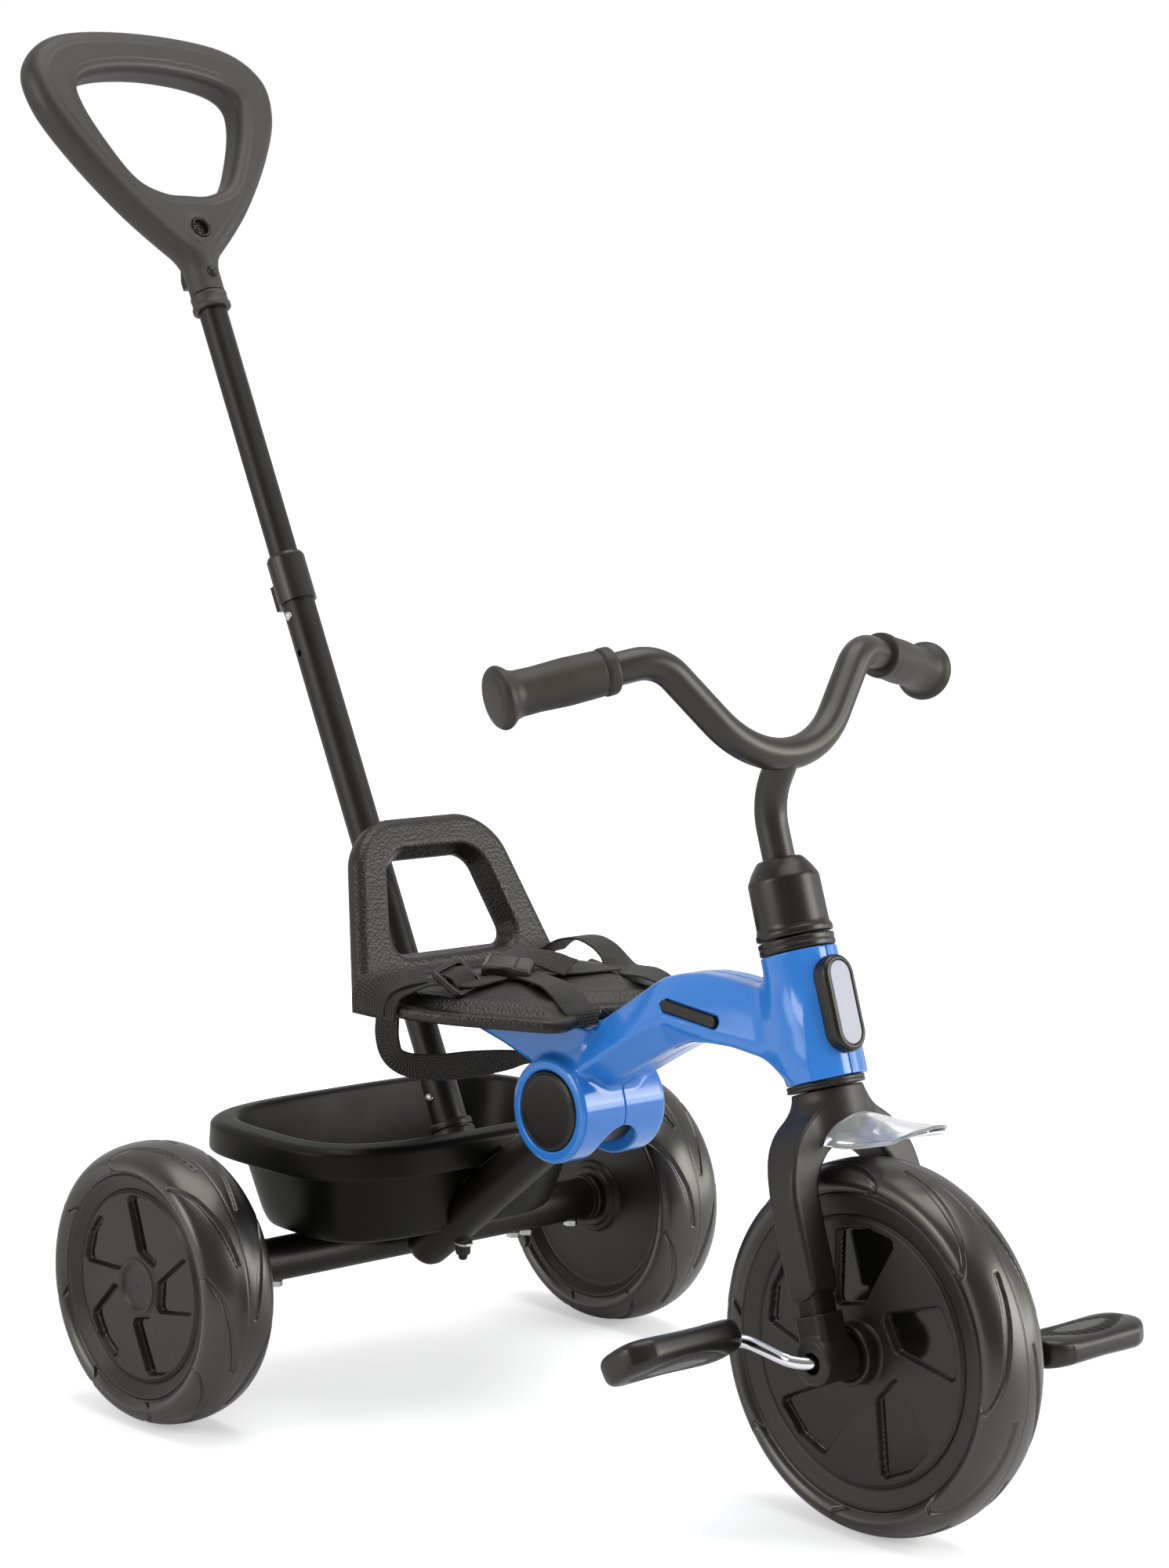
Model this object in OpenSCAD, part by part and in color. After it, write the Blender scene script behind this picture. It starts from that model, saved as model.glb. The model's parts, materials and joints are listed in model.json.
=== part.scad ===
// Toddler push along trike: a moulded hump frame on a folding rear frame, with a pedalled
// front wheel, a dipped handlebar, a small harnessed seat, a rear basket and a telescopic push bar.
// Millimetres. X points forward, Y to the rider's left, Z up, and the ground is Z = 0.

/* [Overall] */
// Distance between the front and rear axles
wheelbase = 488; // [460:1:520]
// Distance between the middles of the rear tyres
track = 438; // [420:1:460]

/* [Front wheel] */
// Outer radius of the front tyre
front_tyre_r = 125; // [122:0.5:127]
// Width of the front tyre
front_tyre_w = 53; // [46:0.5:55]
// Radius where the front tyre meets its rim
front_rim_r = 105.5; // [102:0.5:108]
// Radius of the flat disc inside the front rim
front_disc_r = 89; // [84:0.5:93]
// Width between the two disc faces of the front wheel
front_disc_w = 43.4; // [38:0.2:45]
// Radius of the hub boss on each side of the front wheel
hub_boss_r = 20.5; // [18:0.5:22]
// Width over the hub bosses of the front wheel
hub_boss_w = 68; // [64:0.5:70]

/* [Rear wheels] */
// Outer radius of a rear tyre
rear_tyre_r = 101; // [98:0.5:104]
// Width of a rear tyre
rear_tyre_w = 59; // [52:0.5:62]
// Radius where a rear tyre meets its rim
rear_rim_r = 81; // [78:0.5:84]
// Radius of the flat disc inside a rear rim
rear_disc_r = 68; // [64:0.5:71]
// Width between the two disc faces of a rear wheel
rear_disc_w = 43.2; // [38:0.2:46]
// Radius of the hub boss on the inner side of a rear wheel
rear_boss_r = 20; // [18:0.5:23]
// Diameter of the rear axle rod
axle_d = 10; // [8:0.5:12]
// Blade pockets in each wheel disc
pockets = 5; // [4:1:6]
// Depth of a blade pocket
pocket_depth = 5; // [3:0.5:6]

/* [Steering head] */
// Backward lean of the steering axis, in degrees
head_tilt = 19; // [17:0.5:20]
// Outer diameter of the head tube
head_d = 51.5; // [48:0.5:54]
// Length of the head tube
head_len = 86.6; // [82:0.2:90]
// Distance along the steering axis from the front axle to the head tube
head_start = 177.4; // [175:0.2:182]
// Thickness of the lower headset ring
lower_ring_h = 5.4; // [4:0.2:5.6]
// Thickness of the upper headset ring
upper_ring_h = 9; // [6:0.5:11]
// Diameter of the steerer tube
steerer_d = 25.4; // [22:0.2:28]
// Height of the stem cap
cap_h = 53; // [48:1:58]
// Height of the shoulder of the stem cap
cap_shoulder_h = 39; // [34:1:43]
// Diameter of the stem cap at its shoulder
cap_shoulder_d = 48; // [44:0.5:50]
// Diameter of the stem cap at its top
cap_top_d = 29; // [27:0.5:33]

/* [Handlebar] */
// Diameter of the handlebar and stem tube
bar_d = 22; // [20:0.5:24]
// Distance along the steering axis from the front axle to the bend of the stem
stem_bend_at = 366; // [360:1:372]
// Forward lean of the top of the stem, in degrees
stem_lean = 24; // [18:1:28]
// Length of the stem above its bend
stem_top_len = 36; // [33:1:42]
// Radius of the stem bend
stem_bend_r = 48; // [38:1:55]
// Backward lean of the dip of the handlebar, in degrees
dip_lean = 20.6; // [16:0.2:24]
// Height of the grips above the bottom of the dip
dip_h = 69; // [62:1:76]
// Half distance between the upper bends of the handlebar
dip_half_w = 95; // [88:1:102]
// Steepness of the sides of the dip, in degrees
dip_slope = 48.4; // [45:0.2:52]
// Bend radius at the bottom of the dip
dip_r = 75; // [65:1:78]
// Bend radius at the top of the dip
shoulder_r = 32; // [26:1:36]
// Half distance between the grip ends
grip_half_w = 200; // [190:1:212]
// Backward sweep of the grips, in degrees
grip_sweep = 20.5; // [14:0.5:24]
// Length of a grip
grip_len = 86; // [78:1:92]
// Diameter of the middle of a grip
grip_d = 30; // [28:0.5:33]
// Diameter of the end flange of a grip
grip_flange_d = 42; // [38:0.5:46]

/* [Fork] */
// Half distance between the middles of the fork legs
leg_half_w = 50.5; // [49.5:0.5:54]
// Width of a fork leg cover, across the wheel
leg_w = 25; // [22:0.5:26]
// Depth of a fork leg cover, along the wheel
leg_depth = 26; // [23:0.5:30]
// Distance along the steering axis from the axle to the end of the leg covers
leg_end = 40; // [38:0.5:48]
// Distance along the steering axis from the axle to the start of the crown arch
arch_start = 100; // [92:1:106]
// Distance along the steering axis from the axle to the middle of the crown arch
arch_top = 150; // [149:0.5:154]
// Diameter of the fork crown
crown_d = 48; // [45:0.5:51]
// Diameter of the steel blade inside a fork leg
blade_d = 20; // [16:0.5:20.5]
// Outer diameter of the axle knuckles
knuckle_d = 30; // [28:0.5:34]
// Outer reach of the knuckles from the mid plane
knuckle_reach = 66; // [64:0.5:68]
// Diameter of the recess round the crank in each knuckle
knuckle_hole_d = 14; // [12:0.5:16]
// Width of the clear fender
fender_w = 58; // [50:1:62]
// Thickness of the clear fender
fender_t = 2.4; // [2:0.2:3]

/* [Crank and pedals] */
// Diameter of the crank rod
crank_d = 9; // [8:0.2:10]
// Distance from the axle to a pedal spindle
crank_r = 58; // [54:1:62]
// Angle of the right crank above the level, pointing backward, in degrees
crank_angle = 7; // [0:1:12]
// Distance from the mid plane to the inner end of a pedal
pedal_start = 84; // [83:0.5:87]
// Length of a pedal
pedal_len = 102; // [92:1:103]
// Width of a pedal
pedal_w = 49; // [45:1:54]
// Thickness of a pedal
pedal_t = 24; // [22:0.5:27]

/* [Frame shells] */
// Distance from the rear axle to the fold drum
drum_x = 204.8; // [200:0.1:208]
// Height of the fold drum
drum_z = 237.3; // [233:0.1:241]
// Diameter of the fold drum
drum_d = 75; // [72:0.5:78]
// Width of the fold drum
drum_w = 80; // [76:0.5:84]
// Rounding of the rims of the drum
drum_round = 4; // [2:0.5:5]
// Diameter of the hinge caps
hinge_cap_d = 56.6; // [53:0.2:60]
// Depth of the recess for a hinge cap
hinge_cap_depth = 4.5; // [3.5:0.5:6]
// Diameter of the fold pin
fold_pin_d = 12; // [10:0.5:14]
// Length of the slot that the down tube swings in, in degrees
slot_travel = 98; // [80:1:102]
// Distance from the rear axle to the rounded lower end of the down tube
down_end_x = 28; // [26:0.5:30]
// Height of the hump of the beam above the drum
hump_h = 114; // [112:0.5:116]
// Largest half width of the beam
beam_half_w = 28; // [26:0.5:31]
// Length of the dark insert in each side of the beam
insert_len = 54; // [46:1:58]
// Height of the dark insert
insert_h = 12; // [9:0.5:13]
// Length of the badge on the head tube
badge_len = 65; // [58:1:70]
// Width of the badge on the head tube
badge_w = 28; // [24:0.5:30]

/* [Seat] */
// Height of the seat platform above the ground
seat_z = 299; // [297.5:0.5:300.5]
// Largest half width of the seat pan
seat_half_w = 116; // [108:1:120]
// Distance from the rear axle to the front corners of the seat pan
seat_front_x = 246; // [238:1:250]
// Length of the seat pan
seat_len = 188; // [180:1:194]
// Thickness of the rim of the seat pan
seat_rim_t = 8; // [6:0.5:9]
// Height of the domed sitting area above the rim
seat_dome_h = 15; // [11:0.5:18]
// Backward lean of the backrest, in degrees
back_lean = 23.8; // [20:0.2:26]
// Height of the backrest along its lean
back_h = 132; // [124:1:138]
// Thickness of the backrest
back_t = 18; // [14:0.5:20]
// Half width of the backrest at its foot
back_foot_half_w = 103; // [97:1:106]
// Half width of the backrest at its top
back_top_half_w = 76; // [70:1:82]
// Width of the frame round the backrest window
back_frame_w = 30; // [26:0.5:33]
// Width of the harness webbing
strap_w = 25; // [20:1:27]
// Thickness of the harness webbing
strap_t = 1.8; // [1.4:0.1:2.2]

/* [Rear frame and basket] */
// Diameter of the down tube
down_d = 34; // [31:0.5:34.5]
// Slope of the down tube, in degrees
down_slope = 38.6; // [38:0.2:39.2]
// Diameter of the cross tube
cross_d = 32; // [29:0.5:33]
// Room between the end of the cross tube and the middle of each rear tyre
cross_inset = 23; // [22:0.5:25]
// Distance from the rear axle to the middle of the basket
basket_x = 12; // [8:0.5:15]
// Height of the basket rim above the ground
basket_rim_z = 200.5; // [196:0.5:206]
// Height of the basket floor above the ground
basket_floor_z = 119; // [118.5:0.5:121]
// Length of the basket at its rim, along the trike
basket_len = 167; // [158:1:172]
// Width of the basket at its rim
basket_w = 266; // [256:1:276]
// Wall of the basket
basket_wall = 2.6; // [2.2:0.2:3.2]
// Depth of the flange that hangs from the basket rim
flange_h = 24; // [20:0.5:27]
// Overhang of the flange beyond the rim
flange_out = 15; // [11:0.5:17]

/* [Push bar] */
// Backward lean of the push bar, in degrees
bar_lean = 26.9; // [25:0.1:27.5]
// Distance along the down tube from the drum to the foot of the push bar
bar_foot_at = 153.7; // [150:0.1:157]
// Diameter of the lower push bar tube and of its socket
lower_d = 25.4; // [24:0.2:27]
// Diameter of the upper push bar tube
upper_d = 22; // [20:0.2:22.4]
// Length of the socket above the foot
socket_len = 111; // [105:1:116]
// Distance from the foot to the neck of the lower tube
neck_end = 150; // [145:1:156]
// Distance from the foot to the sleeve
sleeve_at = 478; // [466:1:486]
// Length of the sleeve
sleeve_len = 38; // [34:1:42]
// Diameter of the sleeve
sleeve_d = 29.5; // [28:0.5:32]
// Length of the upper tube held inside the lower tube
overlap_len = 60; // [50:1:70]
// Distance from the foot to the bottom of the push handle
handle_at = 722; // [706:1:736]
// Width of the push handle
handle_w = 228; // [215:1:240]
// Height of the push handle
handle_h = 237; // [225:1:250]
// Depth of the push handle
handle_depth = 30; // [26:0.5:33]

/* [Hidden] */
$fn = 72;
// Gap between pieces that only lie near each other
gap = 0.3;
// Radial clearance of a running fit
run = 0.05;
// Overrun of every cut
over = 2;
// Sides of a swept tube
tube_sides = 16;
// Segments of a rounded bend
bend_steps = 7;
// Wall of the steel tubes
tube_wall = 2;

handle_lean_back = sin(bar_lean);
handle_rise = cos(bar_lean);
foot_x = drum_x - bar_foot_at * cos(down_slope);
foot_z = drum_z - bar_foot_at * sin(down_slope);
handle_top_share = 0.848;
handle_oval = 2.6;
oval_dual = handle_oval / (handle_oval - 1);
handle_top_out = pow(pow(handle_h * (1 - handle_top_share) / 2 * handle_lean_back, oval_dual)
    + pow(handle_depth / 2 * handle_rise, oval_dual), 1 / oval_dual);
handle_top_mid = handle_at + handle_h * (1 + handle_top_share) / 2;
back_reach_x = foot_x - handle_top_mid * handle_lean_back - handle_top_out;
mid_x = (wheelbase + front_tyre_r + back_reach_x) / 2;

bar_r = bar_d / 2;
head_r = head_d / 2;
steerer_r = steerer_d / 2;
head_end = head_start + head_len;
crown_top = head_start - lower_ring_h - 2 * gap;
cap_start = head_end + upper_ring_h + 2 * gap;
leg_inner = leg_half_w - leg_w / 2;
knuckle_start = hub_boss_w / 2 + 2 * gap;
down_r = down_d / 2;
cross_r = cross_d / 2;
cross_len = track - 2 * cross_inset;
drum_r = drum_d / 2;
hub_r = hinge_cap_d / 2;
hub_half_w = down_r;
lower_r = lower_d / 2;
upper_r = upper_d / 2;
lower_bore_r = upper_r + gap;
neck_r = lower_bore_r + gap / 2;
socket_bore_r = neck_r + gap;
socket_r = max(lower_r, socket_bore_r + gap * 4);
collar_at = 51;
collar_h = 12;
sleeve_end = sleeve_at + sleeve_len;
wheel_bore_r = axle_d / 2 + run;

frame_blue = "#3885db";
black = "#1c1c1c";
dark_grey = "#333331";
satin_black = "#262624";
zinc = "#c4c4c0";
chrome = "#d8d8dc";

// Places

module trike() {
    translate([-mid_x, 0, 0]) children();
}

module on_head() {
    trike() translate([wheelbase, 0, front_tyre_r]) rotate([0, -head_tilt, 0]) children();
}

module on_front_axle() {
    trike() translate([wheelbase, 0, front_tyre_r]) children();
}

module on_drum() {
    trike() translate([drum_x, 0, drum_z]) children();
}

module on_down_tube() {
    on_drum() rotate([0, -90 - down_slope, 0]) children();
}

module on_rear_axle() {
    trike() translate([0, 0, rear_tyre_r]) children();
}

module on_bar() {
    trike() translate([foot_x, 0, foot_z]) rotate([0, -bar_lean, 0]) children();
}

module along_y(h, r, start = 0) {
    translate([0, start, 0]) rotate([-90, 0, 0]) cylinder(h = h, r = r);
}

module side(s) {
    if (s < 0) mirror([0, 1, 0]) children();
    else children();
}

// Curves, profiles and swept skins

function unit(v) = v / norm(v);
function power(x, e) = sign(x) * pow(abs(x), e);
function on_line(a, b, f) = a + (b - a) * f;

function corner(a, v, b, r) =
    let (da = unit(a - v), db = unit(b - v), half = acos(da * db) / 2, turn = 180 - 2 * half,
         middle = v + unit(da + db) * r / sin(half),
         ua = unit(v + da * r / tan(half) - middle), ub = unit(v + db * r / tan(half) - middle))
    [for (i = [0:bend_steps])
        middle + r * (sin(turn * (1 - i / bend_steps)) * ua + sin(turn * i / bend_steps) * ub) / sin(turn)];

function spline_at(p, i, f) =
    let (n = len(p), a = p[(i - 1 + n) % n], b = p[i % n], c = p[(i + 1) % n], d = p[(i + 2) % n])
    0.5 * (2 * b + (c - a) * f + (2 * a - 5 * b + 4 * c - d) * f * f + (3 * b - a - 3 * c + d) * f * f * f);

function closed_spline(p, steps) =
    [for (i = [0:len(p) - 1]) for (k = [0:steps - 1]) spline_at(p, i, k / steps)];

function smooth(p, i, f) =
    let (n = len(p), a = p[max(i - 1, 0)], b = p[i], c = p[i + 1], d = p[min(i + 2, n - 1)])
    0.5 * (2 * b + (c - a) * f + (2 * a - 5 * b + 4 * c - d) * f * f + (3 * b - a - 3 * c + d) * f * f * f);

function smooth_path(p, steps) =
    concat([for (i = [0:len(p) - 2]) for (k = [0:steps - 1]) smooth(p, i, k / steps)], [p[len(p) - 1]]);

function oval(a, b, e, n) =
    [for (i = [0:n - 1]) let (t = 360 * i / n) [a * power(cos(t), 2 / e), b * power(sin(t), 2 / e)]];

function tangents(p) =
    [for (i = [0:len(p) - 1]) unit(p[min(i + 1, len(p) - 1)] - p[max(i - 1, 0)])];

function carried(path, ref, prof) =
    let (ts = tangents(path))
    [for (i = [0:len(path) - 1])
        let (a = unit(cross(ref, ts[i])), b = cross(ts[i], a))
        [for (q = prof) path[i] + a * q[0] + b * q[1]]];

module skin(rings, closed = false) {
    n = len(rings[0]);
    m = len(rings);
    last = closed ? m - 1 : m - 2;
    sides = [for (i = [0:last]) for (j = [0:n - 1])
        let (k = (i + 1) % m, l = (j + 1) % n)
        each [[i * n + j, k * n + j, k * n + l], [i * n + j, k * n + l, i * n + l]]];
    ends = closed ? [] : [[for (j = [0:n - 1]) j], [for (j = [n - 1:-1:0]) (m - 1) * n + j]];
    polyhedron(points = [for (r = rings) each r], faces = concat(sides, ends), convexity = 8);
}

module tube_along(path, ref, r) {
    skin(carried(path, ref, oval(r, r, 2, tube_sides)));
}

module capsule(l, h) {
    for (s = [-1, 1]) translate([s * (l - h) / 2, 0]) circle(d = h);
    square([l - h, h], center = true);
}

// Frame shells. Each row of the beam holds shares: how far it lies from the drum to the head, then
// the height above the drum and the half width of the top edge, roof edge, crease and lower edge.
beam_run = wheelbase - sin(head_tilt) * (head_start + head_len / 2) - drum_x;
seat_share = (seat_z - drum_z) / hump_h;
beam_shares = [
    [-0.529, seat_share, 0.96, 0.524, 1.07, 0.489, 1.09, 0.454, 0.96],
    [-0.411, seat_share, 0.98, 0.519, 1.09, 0.454, 1.1, 0.383, 0.95],
    [-0.283, seat_share, 0.98, 0.515, 1.1, 0.418, 1.11, 0.328, 0.93],
    [-0.141, seat_share, 0.98, 0.506, 1.11, 0.366, 1.18, 0.246, 0.79],
    [0.001, seat_share, 0.96, 0.489, 1.11, 0.287, 1.34, 0.111, 0.54],
    [0.081, seat_share, 0.93, 0.467, 1.07, 0.256, 1.35, 0.085, 0.5],
    [0.167, 0.639, 0.64, 0.532, 0.93, 0.366, 1.29, 0.186, 0.53],
    [0.252, 0.743, 0.54, 0.633, 0.8, 0.462, 1.21, 0.274, 0.55],
    [0.394, 0.914, 0.54, 0.848, 0.68, 0.646, 1.07, 0.432, 0.61],
    [0.465, 0.958, 0.54, 0.901, 0.68, 0.69, 1.03, 0.506, 0.64],
    [0.569, 0.993, 0.54, 0.927, 0.7, 0.664, 0.98, 0.581, 0.8],
    [0.663, 0.996, 0.54, 0.927, 0.7, 0.655, 0.96, 0.603, 0.89],
    [0.772, 0.987, 0.54, 0.918, 0.7, 0.646, 0.94, 0.607, 0.88],
    [0.829, 1.015, 0.54, 0.936, 0.7, 0.638, 0.91, 0.598, 0.86],
    [0.862, 1.076, 0.52, 0.98, 0.68, 0.629, 0.9, 0.585, 0.84],
    [0.914, 1.142, 0.5, 1.032, 0.66, 0.603, 0.87, 0.563, 0.8],
    [0.99, 1.173, 0.43, 1.05, 0.61, 0.576, 0.68, 0.528, 0.61]];
beam_steps = 2;
beam_rows = smooth_path(beam_shares, beam_steps);

function beam_ring(row) =
    [for (q = [[row[7], 0], [row[7], row[8]], [row[5], row[6]], [row[3], row[4]],
            [row[1], row[2]], [row[1], 0]])
        [drum_x + beam_run * row[0], beam_half_w * q[1], drum_z + hump_h * q[0]]];

module beam_half() {
    skin([for (row = beam_rows) beam_ring(row)]);
}

module drum_half() {
    rotate([-90, 0, 0]) rotate_extrude() {
        square([drum_r, drum_w / 2 - drum_round]);
        square([drum_r - drum_round, drum_w / 2]);
        translate([drum_r - drum_round, drum_w / 2 - drum_round]) circle(r = drum_round);
    }
}

slot_r = down_r + 2 * gap;
slot_reach = drum_r + over * 4;

module fold_slot() {
    for (a = [0, slot_travel])
        rotate([0, -90 - down_slope - a, 0]) cylinder(h = slot_reach, r = slot_r);
    rotate([90, 0, 0]) linear_extrude(2 * hub_half_w + 6 * gap, center = true)
        polygon(concat([[0, 0]], [for (i = [0:bend_steps])
            let (a = 180 + down_slope + slot_travel * i / bend_steps)
            slot_reach * [cos(a), sin(a)]]));
}

badge_seat = head_r - badge_w / 5;
badge_at = head_start + head_len * 0.54;
badge_proud_share = 0.28;
badge_proud = head_r + badge_w * badge_proud_share;
badge_frame = badge_w / 6;
insert_x = drum_x + beam_run * 0.56;
insert_z = drum_z + hump_h * 0.75;
insert_seat = beam_half_w * 0.7;
insert_proud = beam_half_w * 0.87;
insert_slope = 5;

module insert_solid(l, h, start, end) {
    trike() translate([insert_x, start, insert_z]) rotate([-90, insert_slope, 0])
        linear_extrude(end - start) capsule(l, h);
}

module badge_solid(l, w, start, end) {
    on_head() translate([start, 0, badge_at]) rotate([0, 90, 0])
        linear_extrude(end - start) capsule(l, w);
}

module frame_half() {
    difference() {
        union() {
            trike() beam_half();
            on_head() intersection() {
                translate([0, 0, head_start]) cylinder(h = head_len, r = head_r);
                translate([-drum_d, 0, 0]) cube([2 * drum_d, drum_d, head_end + over]);
            }
            on_drum() drum_half();
        }
        on_head() translate([0, 0, head_start - over]) cylinder(h = head_len + 2 * over, r = steerer_r + run);
        on_drum() along_y(hub_half_w + 3 * gap + over, hub_r + gap, -over);
        on_drum() along_y(drum_w + over, fold_pin_d / 2 + run, -over);
        on_drum() along_y(hinge_cap_depth + over, hinge_cap_d / 2 + gap, drum_w / 2 - hinge_cap_depth);
        on_drum() fold_slot();
        seat_screw_places() {
            translate([0, 0, -seat_screw_grip - over])
                cylinder(h = seat_screw_grip + 2 * over, r = seat_screw_r + run);
            translate([0, 0, drum_z + drum_r / 2 - seat_z])
                cylinder(h = seat_z - seat_screw_grip - drum_z - drum_r / 2, r = seat_screw_head_r + gap);
        }
        insert_solid(insert_len + 2 * gap, insert_h + 2 * gap, insert_seat, beam_half_w + over);
        badge_solid(badge_len + 2 * gap, badge_w + 2 * gap, badge_seat, head_r + over);
    }
}

module frame_shell_right() {
    color(frame_blue) side(-1) frame_half();
}

module frame_shell_left() {
    color(frame_blue) side(1) frame_half();
}

hinge_cap_proud = 0.8;
hinge_cap_round = 1.6;

module hinge_cap_half() {
    h = hinge_cap_depth + hinge_cap_proud;
    on_drum() translate([0, drum_w / 2 - hinge_cap_depth, 0]) rotate([-90, 0, 0]) {
        cylinder(h = h - hinge_cap_round, r = hinge_cap_d / 2);
        translate([0, 0, h - hinge_cap_round])
            cylinder(h = hinge_cap_round, r1 = hinge_cap_d / 2, r2 = hinge_cap_d / 2 - hinge_cap_round);
    }
}

module hinge_cap_right() {
    color(black) side(-1) hinge_cap_half();
}

module hinge_cap_left() {
    color(black) side(1) hinge_cap_half();
}

module side_insert_right() {
    color(black) side(-1) insert_solid(insert_len, insert_h, insert_seat, insert_proud);
}

module side_insert_left() {
    color(black) side(1) insert_solid(insert_len, insert_h, insert_seat, insert_proud);
}

ring_step = 0.6;

module headset_upper_ring() {
    color(satin_black) on_head() translate([0, 0, head_end]) difference() {
        union() {
            cylinder(h = upper_ring_h / 2, r = head_r);
            cylinder(h = upper_ring_h, r = head_r - ring_step);
        }
        translate([0, 0, -over]) cylinder(h = upper_ring_h + 2 * over, r = steerer_r + run);
    }
}

module headset_lower_ring() {
    color(satin_black) on_head() translate([0, 0, head_start - lower_ring_h]) difference() {
        cylinder(h = lower_ring_h, r = head_r + ring_step);
        translate([0, 0, -over]) cylinder(h = lower_ring_h + 2 * over, r = steerer_r + run);
    }
}

module badge_bezel() {
    color(black) difference() {
        badge_solid(badge_len, badge_w, badge_seat, badge_proud);
        badge_solid(badge_len - 2 * badge_frame, badge_w - 2 * badge_frame,
            head_r - badge_frame / 2, badge_proud + over);
    }
}

module badge_panel() {
    color("#c9cbd2") badge_solid(badge_len - 2 * badge_frame - gap, badge_w - 2 * badge_frame - gap,
        head_r - badge_frame / 2, badge_proud - 4 * gap);
}

module fold_pin() {
    l = drum_w - 2 * hinge_cap_depth;
    color(zinc) on_drum() along_y(l, fold_pin_d / 2, -l / 2);
}

// Seat. Plan shares run from the back of the pan to its front, and across its half width.
pan_shares = [[0, 0], [0.01, 0.6], [0.05, 0.85], [0.25, 0.97], [0.42, 1],
    [0.62, 0.88], [0.85, 0.66], [0.97, 0.54], [1, 0.4], [1, 0]];
dome_shares = [[1, 0], [0.97, 0.35], [0.92, 0.7], [0.84, 0.92], [0.7, 1]];
dome_inset = 15;
seat_back_x = seat_front_x - seat_len;
seat_top = seat_z + gap + seat_rim_t;
back_foot_x = seat_back_x + back_t * 0.4;
back_round = 34;
window_round = 15;
window_foot = 22;
seat_lift = gap;

function pan_outline(inset) =
    let (half = [for (q = pan_shares)
        [seat_back_x + inset + (seat_len - 2 * inset) * q[0], (seat_half_w - inset) * q[1]]])
    concat([for (p = half) [p[0], -p[1]]], [for (i = [len(half) - 2:-1:1]) half[i]]);

function dome_ring(row) =
    let (c = [seat_back_x + seat_len / 2, 0])
    [for (q = pan_outline(dome_inset)) let (p = c + (q - c) * row[0])
        [p[0], p[1], seat_top + seat_dome_h * row[1]]];

module back_outline(foot, top, h, r) {
    hull() {
        for (s = [-1, 1]) {
            translate([s * (foot - r / 2), r / 2]) circle(r = r / 2, $fn = 32);
            translate([s * (top - r), h - r]) circle(r = r, $fn = 32);
        }
    }
}

module beam_notch() {
    rows = [for (row = beam_rows) if (row[0] > -0.1 && row[0] < 0.5)
        [drum_x + beam_run * row[0], drum_z + hump_h * row[1] + seat_lift]];
    trike() translate([0, beam_half_w * 1.2, 0]) rotate([90, 0, 0]) linear_extrude(2 * beam_half_w * 1.2)
        polygon(concat(rows, [[rows[len(rows) - 1][0], drum_z], [rows[0][0], drum_z]]));
}

module seat() {
    color(black) difference() {
        union() {
            trike() translate([0, 0, seat_z + seat_lift]) linear_extrude(seat_rim_t) polygon(pan_outline(0));
            trike() skin([for (row = dome_shares) dome_ring(row)]);
            trike() translate([back_foot_x, 0, seat_z + seat_lift]) rotate([0, -back_lean, 0])
                rotate([90, 0, 90]) linear_extrude(back_t, center = true) difference() {
                    back_outline(back_foot_half_w, back_top_half_w, back_h, back_round);
                    translate([0, window_foot + seat_rim_t])
                        back_outline(back_foot_half_w - back_frame_w - window_round / 2,
                            back_top_half_w - back_frame_w, back_h - window_foot - seat_rim_t - back_frame_w,
                            window_round);
                }
        }
        beam_notch();
        trike() translate([seat_back_x - seat_len, -seat_half_w, 0])
            cube([2 * seat_len, 2 * seat_half_w, seat_z + seat_lift]);
        seat_screw_places() translate([0, 0, -over])
            cylinder(h = seat_screw_len + over + gap, r = seat_screw_r + gap);
    }
}

seat_screw_r = 2.5;
seat_screw_grip = 10;
seat_screw_len = 12;
seat_screw_head_r = 5;
seat_screw_head_h = 3;
seat_screw_run_shares = [-0.36, -0.21];

module seat_screw_places() {
    trike() for (f = seat_screw_run_shares) for (s = [-1, 1])
        translate([drum_x + beam_run * f, s * beam_half_w / 2, seat_z]) children();
}

module seat_screws() {
    color(zinc) seat_screw_places() {
        translate([0, 0, -seat_screw_grip]) cylinder(h = seat_screw_grip + seat_screw_len, r = seat_screw_r);
        translate([0, 0, -seat_screw_grip - seat_screw_head_h])
            cylinder(h = seat_screw_head_h, r = seat_screw_head_r);
    }
}

// Harness. Each route is a list of shares of the seat: along from its back, across its half
// width, and up from the rim in strap widths. A second list holds the way the webbing faces.
function seat_place(q) =
    [seat_back_x + seat_len * q[0], seat_half_w * q[1], seat_top + strap_w * q[2]];
function faced(path, faces, prof) =
    let (ts = tangents(path))
    [for (i = [0:len(path) - 1])
        let (a = unit(cross(faces[i], ts[i])), b = cross(ts[i], a))
        [for (q = prof) path[i] + a * q[0] + b * q[1]]];
ribbon_steps = 3;

module ribbon(shares, faces) {
    prof = [[strap_w / 2, strap_t / 2], [-strap_w / 2, strap_t / 2],
        [-strap_w / 2, -strap_t / 2], [strap_w / 2, -strap_t / 2]];
    path = smooth_path([for (q = shares) seat_place(q)], ribbon_steps);
    trike() skin(faced(path, smooth_path(faces, ribbon_steps), prof));
}

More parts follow.
